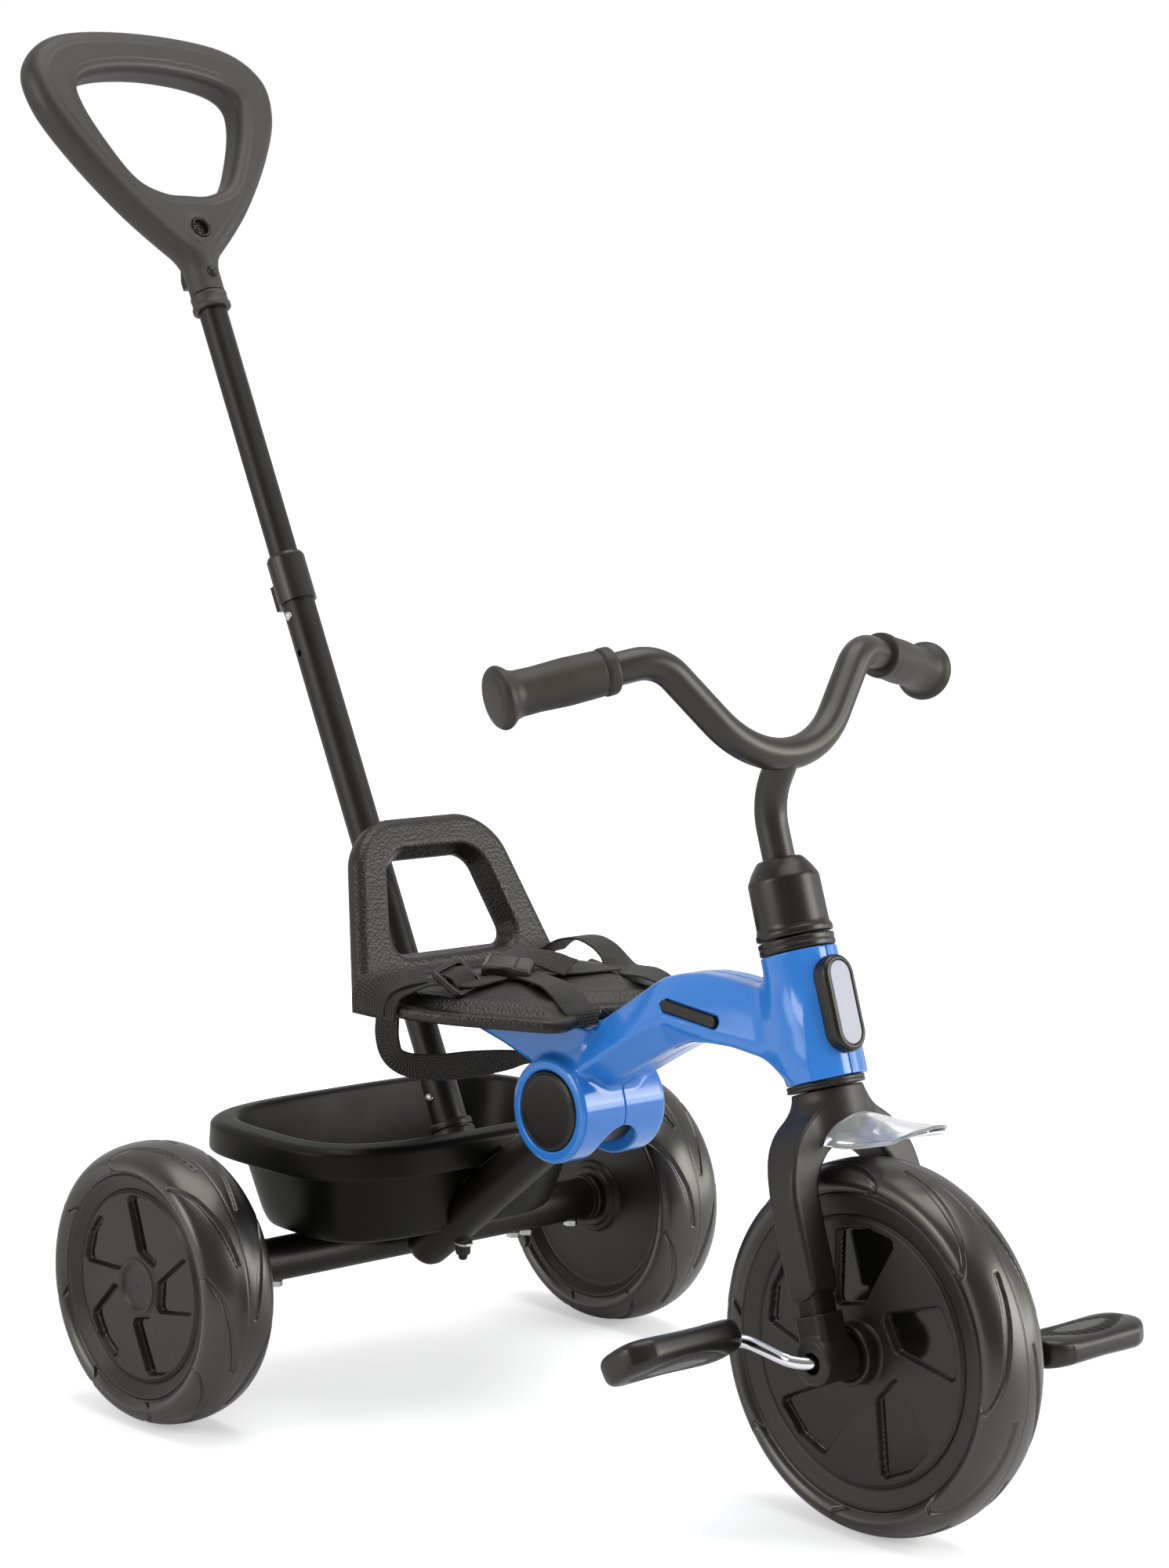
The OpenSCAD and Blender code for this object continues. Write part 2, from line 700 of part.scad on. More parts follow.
lap_right_shares = [[0.16, -0.967, -0.3], [0.16, -0.97, 0.3], [0.19, -0.92, 0.66], [0.3, -0.82, 0.65],
    [0.44, -0.72, 0.65], [0.46, -0.52, 0.66], [0.43, -0.34, 0.82], [0.43, -0.19, 0.872]];
lap_right_faces = [[0, -1, 0], [0, -1, 0.1], [0, -0.5, 1], [0, 0, 1], [0, 0, 1],
    [0, 0, 1], [0, 0, 1], [0, 0, 1]];
lap_left_shares = [[0.16, 0.967, -0.3], [0.16, 0.97, 0.3], [0.2, 0.93, 1], [0.3, 0.86, 1.1],
    [0.42, 0.74, 0.85], [0.47, 0.5, 0.66], [0.43, 0.28, 0.82], [0.43, 0.11, 0.872]];
lap_left_faces = [[0, 1, 0], [0, 1, 0.1], [0, 0.5, 1], [0, 0, 1], [0, 0, 1], [0, 0, 1], [0, 0, 1], [0, 0, 1]];
front_strap_shares = [[0.95, -0.44, 0.12], [0.9, -0.4, 0.66], [0.8, -0.24, 0.86], [0.72, 0, 0.9],
    [0.8, 0.24, 0.86], [0.9, 0.4, 0.66], [0.95, 0.44, 0.12]];
front_strap_faces = [[1, 0, 0.6], [0.6, 0, 1], [0.1, 0, 1], [0, 0, 1], [0.1, 0, 1], [0.6, 0, 1], [1, 0, 0.6]];
under_loop_shares = [[0.05, -0.68, -0.34], [0.045, -0.68, -0.7], [-0.03, -0.66, -1.3],
    [-0.04, -0.6, -2], [0.1, -0.54, -2.42], [0.33, -0.46, -2.2], [0.52, -0.41, -1.6], [0.62, -0.38, -1.15]];
under_loop_faces = [[0, -1, 0], [0, -1, 0], [0, -1, -0.3], [0, -1, -0.3],
    [0, -1, -0.4], [0, -1, -0.4], [0, -1, -0.2], [0, -1, 0]];

module harness_lap_right() {
    color(black) ribbon(lap_right_shares, lap_right_faces);
}

module harness_lap_left() {
    color(black) ribbon(lap_left_shares, lap_left_faces);
}

module harness_front_strap() {
    color(black) ribbon(front_strap_shares, front_strap_faces);
}

module harness_under_loop() {
    color(black) ribbon(under_loop_shares, under_loop_faces);
}

buckle_len = 42;
buckle_w = 32;
buckle_t = 13;
slider_w = 31;
slider_len = 26;
slider_t = 4;

module harness_buckle() {
    color(black) trike() translate(seat_place([0.43, -0.04, 0.872])) difference() {
        cube([buckle_w, buckle_len, buckle_t], center = true);
        for (s = [-1, 1]) translate([0, s * buckle_len / 2, 0])
            cube([strap_w + 4 * gap, buckle_len / 2, strap_t + 8 * gap], center = true);
    }
}

module harness_slider() {
    p = seat_place([0.44, -0.74, 0.65]);
    color(black) trike() translate(p) rotate([0, 0, -40]) translate([0, 0, strap_t * 2]) difference() {
        cube([slider_w, slider_len, slider_t], center = true);
        for (s = [-1, 1]) translate([0, s * slider_len / 4, 0])
            cube([strap_w, slider_len / 3, slider_t + over], center = true);
    }
}

// Rear frame

module fold_hub() {
    color(dark_grey) on_drum() difference() {
        along_y(2 * hub_half_w, hub_r, -hub_half_w);
        along_y(2 * hub_half_w + 2 * over, fold_pin_d / 2 + run, -hub_half_w - over);
    }
}

down_len = (drum_x - down_end_x) / cos(down_slope);

module down_solid(r) {
    on_down_tube() {
        cylinder(h = down_len, r = r);
        translate([0, 0, down_len]) sphere(r = r);
    }
}

module cross_solid(r) {
    on_rear_axle() along_y(cross_len, r, -cross_len / 2);
}

module down_tube() {
    color(satin_black) difference() {
        down_solid(down_r);
        down_solid(down_r - tube_wall);
        cross_solid(cross_r + run);
        on_drum() along_y(2 * hub_half_w + 2 * over, hub_r + run, -hub_half_w - over);
    }
}

module cross_tube() {
    color(satin_black) difference() {
        cross_solid(cross_r);
        on_rear_axle() along_y(cross_len + 2 * over, axle_d / 2 + run, -cross_len / 2 - over);
        on_rear_axle() along_y(cross_len * 0.9, cross_r - tube_wall, -cross_len * 0.45);
        axle_screw_places() translate([0, 0, -over])
            cylinder(h = axle_screw_len + over + gap, r = axle_screw_r + run);
    }
}

module rear_axle() {
    l = track + rear_disc_w - 4 * over;
    color(zinc) on_rear_axle() along_y(l, axle_d / 2, -l / 2);
}

axle_screw_r = 2.5;
axle_screw_len = 8;
axle_screw_head_r = 5.5;
axle_screw_head_h = 4;
axle_screw_shares = [-0.6, 0.59, 0.66, 0.9];

module axle_screw_places() {
    on_rear_axle() for (f = axle_screw_shares) translate([0, f * cross_len / 2, -cross_r]) children();
}

module axle_screws() {
    color(zinc) axle_screw_places() {
        cylinder(h = axle_screw_len, r = axle_screw_r);
        translate([0, 0, -axle_screw_head_h]) cylinder(h = axle_screw_head_h, r = axle_screw_head_r, $fn = 6);
    }
}

collar_w = 9;
collar_wall = 2.4;

module axle_collars() {
    color(black) on_rear_axle() for (s = [-1, 1]) difference() {
        along_y(collar_w, cross_r + collar_wall, s * (cross_len / 2 - collar_w / 2 - over) - collar_w / 2);
        along_y(cross_len + 2 * over, cross_r + run, -cross_len / 2 - over);
    }
}

module bar_socket() {
    color(satin_black) difference() {
        on_bar() cylinder(h = socket_len, r = socket_r);
        on_bar() translate([0, 0, collar_at]) cylinder(h = socket_len, r = socket_bore_r);
        down_solid(down_r + run);
    }
}

module socket_collar() {
    color(black) on_bar() translate([0, 0, collar_at]) difference() {
        cylinder(h = collar_h, r = socket_r + collar_wall * 1.4);
        translate([0, 0, -over]) cylinder(h = collar_h + 2 * over, r = socket_r + run);
    }
}

// Basket. Rings of the moulding: length share, width share, and height from the floor to the rim.
basket_corner = 3.5;
basket_points = 40;
basket_h = basket_rim_z - basket_floor_z;
floor_len_share = 0.73;
floor_w_share = 0.82;

function basket_ring(l, w, z) =
    [for (q = oval(l / 2, w / 2, basket_corner, basket_points)) [basket_x + q[0], q[1], z]];
function wall_ring(f, inset) =
    basket_ring(basket_len * on_line(floor_len_share, 1, f) - 2 * inset,
        basket_w * on_line(floor_w_share, 1, f) - 2 * inset, basket_floor_z + basket_h * f);
function flange_ring(f, inset) =
    basket_ring(basket_len + 2 * flange_out * f - 2 * inset, basket_w + 2 * flange_out * f - 2 * inset,
        basket_rim_z - flange_h * f);
floor_share = basket_wall / basket_h;
under_share = 1 - basket_wall / basket_h * 1.5;

module basket_shell() {
    skin([wall_ring(0, basket_wall * 2), wall_ring(floor_share * 1.5, 0), wall_ring(under_share, 0),
        flange_ring(1, basket_wall), flange_ring(1, 0), flange_ring(0, 0),
        wall_ring(1, basket_wall), wall_ring(floor_share * 2.5, basket_wall),
        wall_ring(floor_share, basket_wall * 3)]);
}

module basket_volume() {
    skin([wall_ring(0, basket_wall * 2), wall_ring(floor_share * 1.5, 0), wall_ring(1, basket_wall / 2)]);
}

tunnel_r = down_r + 4 * gap;
boss_r = socket_r + collar_wall * 1.4;

module basket() {
    color(satin_black) difference() {
        union() {
            trike() basket_shell();
            intersection() {
                trike() basket_volume();
                union() {
                    on_down_tube() cylinder(h = down_len, r = tunnel_r + basket_wall);
                    on_bar() cylinder(h = collar_at - gap, r = boss_r);
                }
            }
        }
        on_down_tube() cylinder(h = down_len, r = tunnel_r);
        down_solid(tunnel_r);
        on_bar() cylinder(h = socket_len, r = socket_r + gap);
    }
}

knob_washer_r = 7.5;
knob_washer_t = 2.5;
knob_r = 5.5;
knob_len = 12;
knob_at_share = 0.75;

module knob_place() {
    on_down_tube() translate([0, 0, down_len * knob_at_share]) rotate([0, 90 + down_slope, 0]) children();
}

module basket_knob() {
    color(black) difference() {
        knob_place() rotate([0, 180, 0]) {
            translate([0, 0, down_r]) cylinder(h = knob_washer_t, r = knob_washer_r);
            translate([0, 0, down_r]) cylinder(h = knob_len, r = knob_r);
            translate([0, 0, down_r + knob_len]) cylinder(h = knob_len / 2, r1 = knob_r, r2 = knob_r / 2);
        }
        down_solid(down_r + run);
    }
}

// Push bar

module bar_lower_tube() {
    top = sleeve_end - sleeve_len / 3;
    taper = lower_r - neck_r;
    color(satin_black) on_bar() difference() {
        union() {
            translate([0, 0, neck_end]) cylinder(h = top - neck_end, r = lower_r);
            translate([0, 0, neck_end - 3 * taper]) cylinder(h = 3 * taper, r1 = neck_r, r2 = lower_r);
            translate([0, 0, collar_at + collar_h])
                cylinder(h = neck_end - 3 * taper - collar_at - collar_h, r = neck_r);
        }
        translate([0, 0, neck_end]) cylinder(h = top, r = lower_bore_r);
        for (f = rivet_shares) translate([0, 0, sleeve_at - f * sleeve_len])
            along_y(lower_d, rivet_r + run, -lower_d);
    }
}

rivet_r = 2.5;
rivet_head_r = 3.6;
rivet_head_h = 1.2;
// Distances below the sleeve, in sleeve lengths: the riveted hole, then the open one
rivet_shares = [0.28, 1.08];

module bar_rivets() {
    color(zinc) {
        on_bar() translate([0, 0, sleeve_at - rivet_shares[0] * sleeve_len])
            rivet(lower_r, lower_bore_r + gap);
        on_bar() translate([0, 0, socket_len - rivet_r * 4]) rivet(socket_r, socket_r + run);
    }
}

module rivet(r, inner) {
    intersection() {
        along_y(r, rivet_r, -r - rivet_r);
        difference() {
            along_y(2 * r, r + rivet_r, -2 * r);
            translate([0, 0, -2 * r]) cylinder(h = 4 * r, r = inner);
        }
    }
    difference() {
        translate([0, -r, 0]) sphere(r = rivet_head_r);
        translate([0, 0, -2 * r]) cylinder(h = 4 * r, r = r + run);
    }
}

button_boss_w = 13;
button_boss_h = 20;
button_boss_out = 4.5;
button_w = 7;
button_h = 13;
button_travel = 2;
button_proud = 2.5;
button_up_share = 0.38;

module bar_sleeve() {
    step_at = sleeve_end - sleeve_len / 3 + gap - sleeve_at;
    color(black) on_bar() translate([0, 0, sleeve_at]) difference() {
        union() {
            cylinder(h = sleeve_len - collar_wall, r = sleeve_d / 2);
            translate([0, 0, sleeve_len - collar_wall])
                cylinder(h = collar_wall, r1 = sleeve_d / 2, r2 = sleeve_d / 2 - collar_wall / 2);
            translate([-sleeve_d / 2 - button_boss_out, -button_boss_w / 2, 0])
                cube([sleeve_d / 2, button_boss_w, button_boss_h]);
        }
        translate([0, 0, -over]) cylinder(h = step_at + over, r = lower_r + run);
        cylinder(h = sleeve_len + over, r = upper_r + run);
        translate([-sleeve_d / 2 - button_boss_out - over, -button_w / 2 - gap,
            button_boss_h * button_up_share - button_h / 3])
            cube([button_boss_out + over, button_w + 2 * gap, button_h]);
    }
}

module sleeve_button() {
    color(dark_grey) on_bar() translate([0, 0, sleeve_at])
        translate([-sleeve_d / 2 - button_boss_out - button_proud, -button_w / 2,
            button_boss_h * button_up_share - button_h / 3 + gap])
            cube([button_boss_out + button_proud - button_travel - gap, button_w, button_h - 2 * gap]);
}

upper_start = sleeve_at - overlap_len;
upper_wall = 1.4;
plug_len = 40;

module bar_upper_tube() {
    color(satin_black) on_bar() difference() {
        translate([0, 0, upper_start]) cylinder(h = handle_at + plug_len / 2 - upper_start, r = upper_r);
        translate([0, 0, upper_start - over])
            cylinder(h = handle_at - plug_len / 2 - upper_start, r = upper_r - upper_wall);
    }
}

// The loop of the handle: outer and inner outlines, as shares of its half width and height
handle_outer_shares = [[0, 0.13], [0.19, 0.2], [0.51, 0.355], [0.81, 0.55],
    [0.985, 0.72], [0.97, 0.865], [0.67, 0.968], [0, 1]];
handle_inner_shares = [[0, 0.4], [0.19, 0.405], [0.38, 0.45], [0.53, 0.565],
    [0.645, 0.7], [0.635, 0.785], [0.41, 0.83], [0, handle_top_share]];
handle_steps = 3;
handle_sides = 12;

function loop_points(shares) =
    let (half = [for (q = shares) [handle_w / 2 * q[0], handle_h * q[1]]],
         other = [for (i = [len(half) - 2:-1:1]) [-half[i][0], half[i][1]]])
    closed_spline(concat(half, other), handle_steps);

module handle_loop() {
    outer = loop_points(handle_outer_shares);
    inner = loop_points(handle_inner_shares);
    prof = oval(1, handle_depth / 2, handle_oval, handle_sides);
    skin([for (i = [0:len(outer) - 1])
        let (c = (outer[i] + inner[i]) / 2, d = (outer[i] - inner[i]) / 2)
        [for (q = prof) [-q[1], c[0] + d[0] * q[0], c[1] + d[1] * q[0]]]], true);
}

neck_d = 27;

module push_handle() {
    color(dark_grey) on_bar() translate([0, 0, handle_at]) difference() {
        union() {
            handle_loop();
            translate([0, 0, ring_h + gap])
                cylinder(h = handle_h * 0.22, r1 = neck_d / 2 - collar_wall / 2, r2 = handle_depth / 2 - gap);
        }
        translate([0, 0, -plug_len]) cylinder(h = plug_len * 1.5 + gap, r = upper_r + run);
        screw_place() translate([0, 0, -screw_depth]) cylinder(h = handle_depth, r = screw_r + run);
    }
}

ring_h = 13;

module handle_ring() {
    color(black) on_bar() translate([0, 0, handle_at]) difference() {
        cylinder(h = ring_h, r = neck_d / 2);
        translate([0, 0, -over]) cylinder(h = ring_h + 2 * over, r = upper_r + run);
    }
}

screw_r = 8;
screw_depth = 4;
screw_socket_r = 3.4;
screw_z_share = 0.27;
hook_w = 6;
hook_len = 22;
hook_out = 9;
rivet_seat = neck_d / 2;
hook_seat = handle_depth * 0.475;

module screw_place() {
    translate([handle_depth / 2, 0, handle_h * screw_z_share]) rotate([0, 90, 0]) children();
}

module handle_screw() {
    color(dark_grey) on_bar() translate([0, 0, handle_at])
        screw_place() translate([0, 0, -screw_depth]) difference() {
        union() {
            cylinder(h = screw_depth, r = screw_r);
            translate([0, 0, screw_depth])
                cylinder(h = screw_depth / 4, r1 = screw_r, r2 = screw_r - screw_depth / 4);
        }
        translate([0, 0, screw_depth / 2]) cylinder(h = screw_depth, r = screw_socket_r, $fn = 6);
    }
}

module handle_rivet() {
    r = rivet_head_r * 1.3;
    color(dark_grey) on_bar()
        translate([rivet_seat, 0, handle_at + ring_h + rivet_head_r * 4]) rotate([0, 90, 0]) {
        cylinder(h = r / 2, r = r);
        translate([0, 0, r / 2]) cylinder(h = r / 3, r1 = r, r2 = r / 2);
    }
}

module bag_hook() {
    color(black) on_bar() translate([-hook_seat, 0, handle_at + handle_h * 0.12]) rotate([90, 0, 0])
        linear_extrude(hook_w, center = true)
        polygon([[0, 0], [0, hook_len], [-hook_out / 3, hook_len], [-hook_out, hook_len / 3],
            [-hook_out, 0]]);
}

// Wheels

// Slanting pocket: radius share of the disc and angle of each corner
pocket_shares = [[0.36, 17], [0.93, 0], [0.93, 17], [0.9, 33], [0.38, 55]];
pocket_round = 4;
rear_pocket_turn = 28;

function pocket_outline(disc_r) =
    let (n = len(pocket_shares), p = [for (q = pocket_shares) disc_r * q[0] * [cos(q[1]), sin(q[1])]])
    [for (i = [0:n - 1]) each corner(p[(i + n - 1) % n], p[i], p[(i + 1) % n], pocket_round)];

function tyre_outline(r, w, seat) =
    let (c = seat + (r - seat) / 3)
    [for (i = [0:20]) let (t = -120 + 12 * i) [c + (r - c) * cos(t), w / 2 * sin(t)]];

module tyre_solid(r, w, seat) {
    rotate([-90, 0, 0]) rotate_extrude() polygon(tyre_outline(r, w, seat));
}

module pocket_cuts(disc_r, face) {
    for (i = [0:pockets - 1]) rotate([0, 0, 360 / pockets * i]) translate([0, 0, face - pocket_depth])
        linear_extrude(pocket_depth + over) polygon(pocket_outline(disc_r));
}

// Face of a rim from the axle outwards: disc, thin groove, ring that slopes out to the tyre
function face_outline(rim_r, disc_r, face, edge) =
    [[0, face], [disc_r - groove_w, face], [disc_r - groove_w / 2, face - groove_w],
     [disc_r + groove_w / 2, face - groove_w], [disc_r + groove_w, face],
     [rim_r - groove_w, edge], [rim_r - run, edge - groove_w]];

rim_edge_share = 0.86;

rim_wall = 4;
web_t = 9;
groove_w = 1.2;

module rear_rim() {
    edge = rear_tyre_w * rim_edge_share / 2;
    face = rear_disc_w / 2;
    boss = over / 2 - cross_inset;
    rotate([-90, 0, 0]) difference() {
        union() {
            rotate_extrude() polygon(concat(face_outline(rear_rim_r, rear_disc_r, face, edge),
                [[rear_rim_r - run, -edge], [rear_rim_r - rim_wall, -edge], [rear_disc_r, face - web_t],
                 [rear_boss_r, face - web_t], [rear_boss_r, boss], [0, boss]]));
            cylinder(h = face + groove_w, r = rear_boss_r);
        }
        rotate([0, 0, -rear_pocket_turn]) pocket_cuts(rear_disc_r, face);
        translate([0, 0, -track / 4]) cylinder(h = track / 4 + face - over, r = wheel_bore_r);
    }
}

module rear_wheel_place(s) {
    on_rear_axle() side(s) translate([0, track / 2, 0]) children();
}

module rear_tyre_right() {
    color(black) rear_wheel_place(-1) tyre_solid(rear_tyre_r, rear_tyre_w, rear_rim_r);
}

module rear_rim_right() {
    color(satin_black) rear_wheel_place(-1) rear_rim();
}

module rear_tyre_left() {
    color(black) rear_wheel_place(1) tyre_solid(rear_tyre_r, rear_tyre_w, rear_rim_r);
}

module rear_rim_left() {
    color(satin_black) rear_wheel_place(1) rear_rim();
}

module front_tyre() {
    color(black) on_front_axle() tyre_solid(front_tyre_r, front_tyre_w, front_rim_r);
}

module front_rim() {
    color(satin_black) on_front_axle() rotate([-90, 0, 0]) difference() {
        union() {
            for (s = [0, 180]) rotate([s, 0, 0]) rotate_extrude() polygon(concat(
                face_outline(front_rim_r, front_disc_r, front_disc_w / 2, front_tyre_w * rim_edge_share / 2),
                [[front_rim_r - run, 0], [0, 0]]));
            translate([0, 0, -hub_boss_w / 2]) cylinder(h = hub_boss_w, r = hub_boss_r);
        }
        pocket_cuts(front_disc_r, front_disc_w / 2);
        rotate([180, 0, 0]) pocket_cuts(front_disc_r, front_disc_w / 2);
        translate([0, 0, -hub_boss_w]) cylinder(h = 2 * hub_boss_w, r = crank_d / 2 + run);
    }
}

// Crank and pedals. The rod runs through the hub and bends out to a spindle on each side.
spindle_len_share = 0.7;
crank_bend_r = 16;
crank_turn = knuckle_reach + crank_d;

function crank_half(s) =
    let (dir = [-cos(crank_angle) * s, 0, sin(crank_angle) * s],
         a = [0, 0, 0], b = [0, -crank_turn * s, 0],
         c = crank_r * dir + [0, -(pedal_start - crank_d) * s, 0],
         d = crank_r * dir + [0, -(pedal_start + pedal_len * spindle_len_share) * s, 0])
    concat([on_line(a, b, 0.5)], corner(a, b, c, crank_bend_r), corner(b, c, d, crank_bend_r), [d]);

module crank() {
    straight = knuckle_reach - crank_d;
    color(chrome) on_front_axle() {
        along_y(2 * straight, crank_d / 2, -straight);
        for (s = [1, -1]) {
            bent = [for (p = crank_half(s)) if (abs(p[1]) > straight) p];
            tube_along(concat([[0, -straight * s, 0]], bent), [0, 0, 1], crank_d / 2);
        }
    }
}

// Round ended block: along the pedal, then its width and its thickness
pedal_shares = [[0, 0.5, 0.8], [0.03, 0.66, 0.93], [0.08, 0.83, 1], [0.15, 0.95, 1], [0.22, 1, 0.97],
    [0.5, 1, 0.92], [0.78, 1, 0.97], [0.86, 0.94, 1], [0.93, 0.8, 0.98],
    [0.975, 0.62, 0.88], [1, 0.42, 0.68]];
pedal_mouth = 13;
pedal_tread_ribs = 14;
pedal_rib_depth = 1.2;
pedal_tread_share = 0.62;
pedal_tread_shares = [0.14, 0.86];
pedal_turn = 22;

module pedal_solid() {
    skin([for (q = pedal_shares)
        [for (p = oval(pedal_w / 2 * q[1], pedal_t / 2 * q[2], 3.4, 24)) [-p[0], pedal_len * q[0], p[1]]]]);
}

module pedal_place(s) {
    on_front_axle() translate([-crank_r * cos(crank_angle) * s, 0, crank_r * sin(crank_angle) * s])
        translate([0, -pedal_start * s, 0]) children();
}

module pedal_body() {
    difference() {
        mirror([0, 1, 0]) pedal_solid();
        along_y(pedal_len * spindle_len_share + over, crank_d / 2 + run, -pedal_len * spindle_len_share);
        along_y(pedal_mouth + over, pedal_t / 3, -pedal_mouth);
        for (i = [1:pedal_tread_ribs]) for (s = [-1, 1]) {
            f = i / (pedal_tread_ribs + 1);
            w = pedal_w * pedal_tread_share * sin(180 * f);
            translate([-w / 2, -pedal_len * on_line(pedal_tread_shares[0], pedal_tread_shares[1], f),
                s * (pedal_t / 2 - pedal_rib_depth) - pedal_rib_depth])
                cube([w, pedal_rib_depth * 2, pedal_rib_depth * 2]);
        }
    }
}

module pedal_right() {
    color(black) pedal_place(1) rotate([0, -pedal_turn, 0]) pedal_body();
}

module pedal_left() {
    color(black) pedal_place(-1) mirror([0, 1, 0]) rotate([0, -pedal_turn / 4, 0]) pedal_body();
}

// Fork and steering

function leg_path() =
    concat([for (f = [0, 0.5]) [0, -leg_half_w, on_line(leg_end, arch_start, f)]],
        [for (i = [0:12]) let (t = 180 - 15 * i)
            [0, leg_half_w * cos(t), arch_start + (arch_top - arch_start) * power(sin(t), 0.9)]],
        [for (f = [0.5, 1]) [0, leg_half_w, on_line(arch_start, leg_end, f)]]);

module fork() {
    color(satin_black) on_head() difference() {
        union() {
            skin(carried(leg_path(), [1, 0, 0], oval(leg_w / 2, leg_depth / 2, 3.6, tube_sides)));
            translate([0, 0, arch_top]) cylinder(h = crown_top - arch_top, r = crown_d / 2);
            translate([0, 0, arch_top - leg_w / 4])
                cylinder(h = leg_w / 4, r1 = leg_depth / 2, r2 = crown_d / 2);
        }
        translate([0, 0, arch_top]) cylinder(h = crown_top, r = steerer_r + run);
        for (s = [-1, 1]) translate([0, s * leg_half_w, leg_end - over])
            cylinder(h = blade_in + over + gap, r = blade_d / 2 + run);
    }
}

blade_in = 45;
knuckle_socket_h = 30;
knuckle_socket_d = 25;
blade_start = knuckle_d / 2 + gap;

module fork_blades() {
    h = leg_end + blade_in - blade_start;
    color(satin_black) on_head() for (s = [-1, 1]) translate([0, s * leg_half_w, blade_start]) difference() {
        cylinder(h = h, r = blade_d / 2);
        translate([0, 0, -over]) cylinder(h = h + 2 * over, r = blade_d / 2 - tube_wall);
    }
}

module knuckle_half() {
    difference() {
        union() {
            on_front_axle() along_y(knuckle_reach - knuckle_start, knuckle_d / 2, knuckle_start);
            on_head() translate([0, leg_half_w, 0]) cylinder(h = knuckle_socket_h, r = knuckle_socket_d / 2);
        }
        on_front_axle() along_y(knuckle_reach, crank_d / 2 + run, 0);
        on_front_axle() along_y(2 * crank_d, knuckle_hole_d / 2, knuckle_reach - crank_d);
        on_head() translate([0, leg_half_w, blade_start - gap])
            cylinder(h = knuckle_socket_h, r = blade_d / 2 + run);
    }
}

module knuckle_right() {
    color(satin_black) side(-1) knuckle_half();
}

module knuckle_left() {
    color(satin_black) side(1) knuckle_half();
}

// Clear fender: a sheet under the crown that runs forward to an upturned lip. Rows hold how far
// forward, how high the edge lies above the tyre, the arch of the middle and the width, as shares.
fender_run = 84;
fender_rise = 32;
fender_shares = [[0, 0, 0.95, 0.96], [0.17, 0.06, 0.95, 1], [0.38, 0.12, 0.85, 1], [0.58, 0.25, 0.62, 0.98],
    [0.79, 0.45, 0.36, 0.9], [0.93, 0.62, 0.2, 0.76], [1, 0.72, 0.14, 0.58]];
fender_start_x = -42;
fender_lift = 3;
fender_base_z = front_tyre_r + fender_lift;
fender_across = 8;

function fender_row(row, lift) =
    [for (i = [0:fender_across]) let (f = 2 * i / fender_across - 1)
        [fender_start_x + fender_run * row[0], fender_w / 2 * row[3] * f,
         fender_base_z + fender_rise * (row[1] + row[2] * (1 - f * f)) + lift]];

module fender() {
    color("#e8eef2", 0.5) difference() {
        on_front_axle() skin([for (row = fender_shares)
            concat(fender_row(row, 0), [for (i = [fender_across:-1:0]) fender_row(row, fender_t)[i]])]);
        on_head() translate([-leg_depth / 2 - gap, -fender_w, 0])
            cube([leg_depth + 2 * gap, 2 * fender_w, arch_top + leg_w]);
        on_head() translate([0, 0, arch_top - leg_w]) cylinder(h = 2 * leg_w, r = crown_d / 2 + gap);
    }
}

module steerer_tube() {
    h = cap_start + cap_h / 2 - arch_top;
    color(satin_black) on_head() translate([0, 0, arch_top + gap]) difference() {
        cylinder(h = h, r = steerer_r);
        translate([0, 0, -over]) cylinder(h = h + 2 * over, r = steerer_r - tube_wall);
    }
}

module stem_cap() {
    r = head_r - ring_step / 2;
    lip = cap_h * 0.075;
    color(black) on_head() translate([0, 0, cap_start]) difference() {
        rotate_extrude() polygon([[0, 0], [r + ring_step, 0], [r + ring_step, lip], [r, lip + ring_step],
            [r - ring_step, 2 * lip], [r - 2 * ring_step, 2 * lip], [cap_shoulder_d / 2, cap_shoulder_h],
            [on_line(cap_shoulder_d, cap_top_d, 0.35) / 2, on_line(cap_shoulder_h, cap_h, 0.45)],
            [on_line(cap_shoulder_d, cap_top_d, 0.8) / 2, on_line(cap_shoulder_h, cap_h, 0.75)],
            [cap_top_d / 2, cap_h], [0, cap_h]]);
        translate([0, 0, -over]) cylinder(h = cap_h / 2 + over + 2 * gap, r = steerer_r + run);
        cylinder(h = cap_h + over, r = bar_r + run);
    }
}

stem_start = cap_start + cap_h / 2 + 3 * gap;
stem_bend = [0, 0, stem_bend_at];
stem_end = stem_bend + stem_top_len * [sin(stem_lean + head_tilt), 0, cos(stem_lean + head_tilt)];

module stem() {
    path = concat([[0, 0, stem_start], on_line([0, 0, stem_start], stem_bend, 0.4)],
        corner([0, 0, stem_start], stem_bend, stem_end, stem_bend_r), [stem_end]);
    color(dark_grey) on_head() difference() {
        tube_along(path, [0, 1, 0], bar_r);
        translate(stem_end) along_y(4 * bar_d, bar_r + gap / 2, -2 * bar_d);
    }
}

// Handlebar, in a frame at the bottom of its dip that leans back with it
module on_dip() {
    on_head() translate(stem_end) rotate([0, head_tilt - dip_lean, 0]) children();
}

dip_vertex = [0, 0, -dip_r * (1 / cos(dip_slope) - 1)];
grip_run = (grip_half_w - dip_half_w);
function bar_side(s) =
    let (v = [0, s * dip_half_w, dip_h],
         e = v + grip_run * [-tan(grip_sweep), s, -tan(grip_sweep) / 4])
    [v, e];

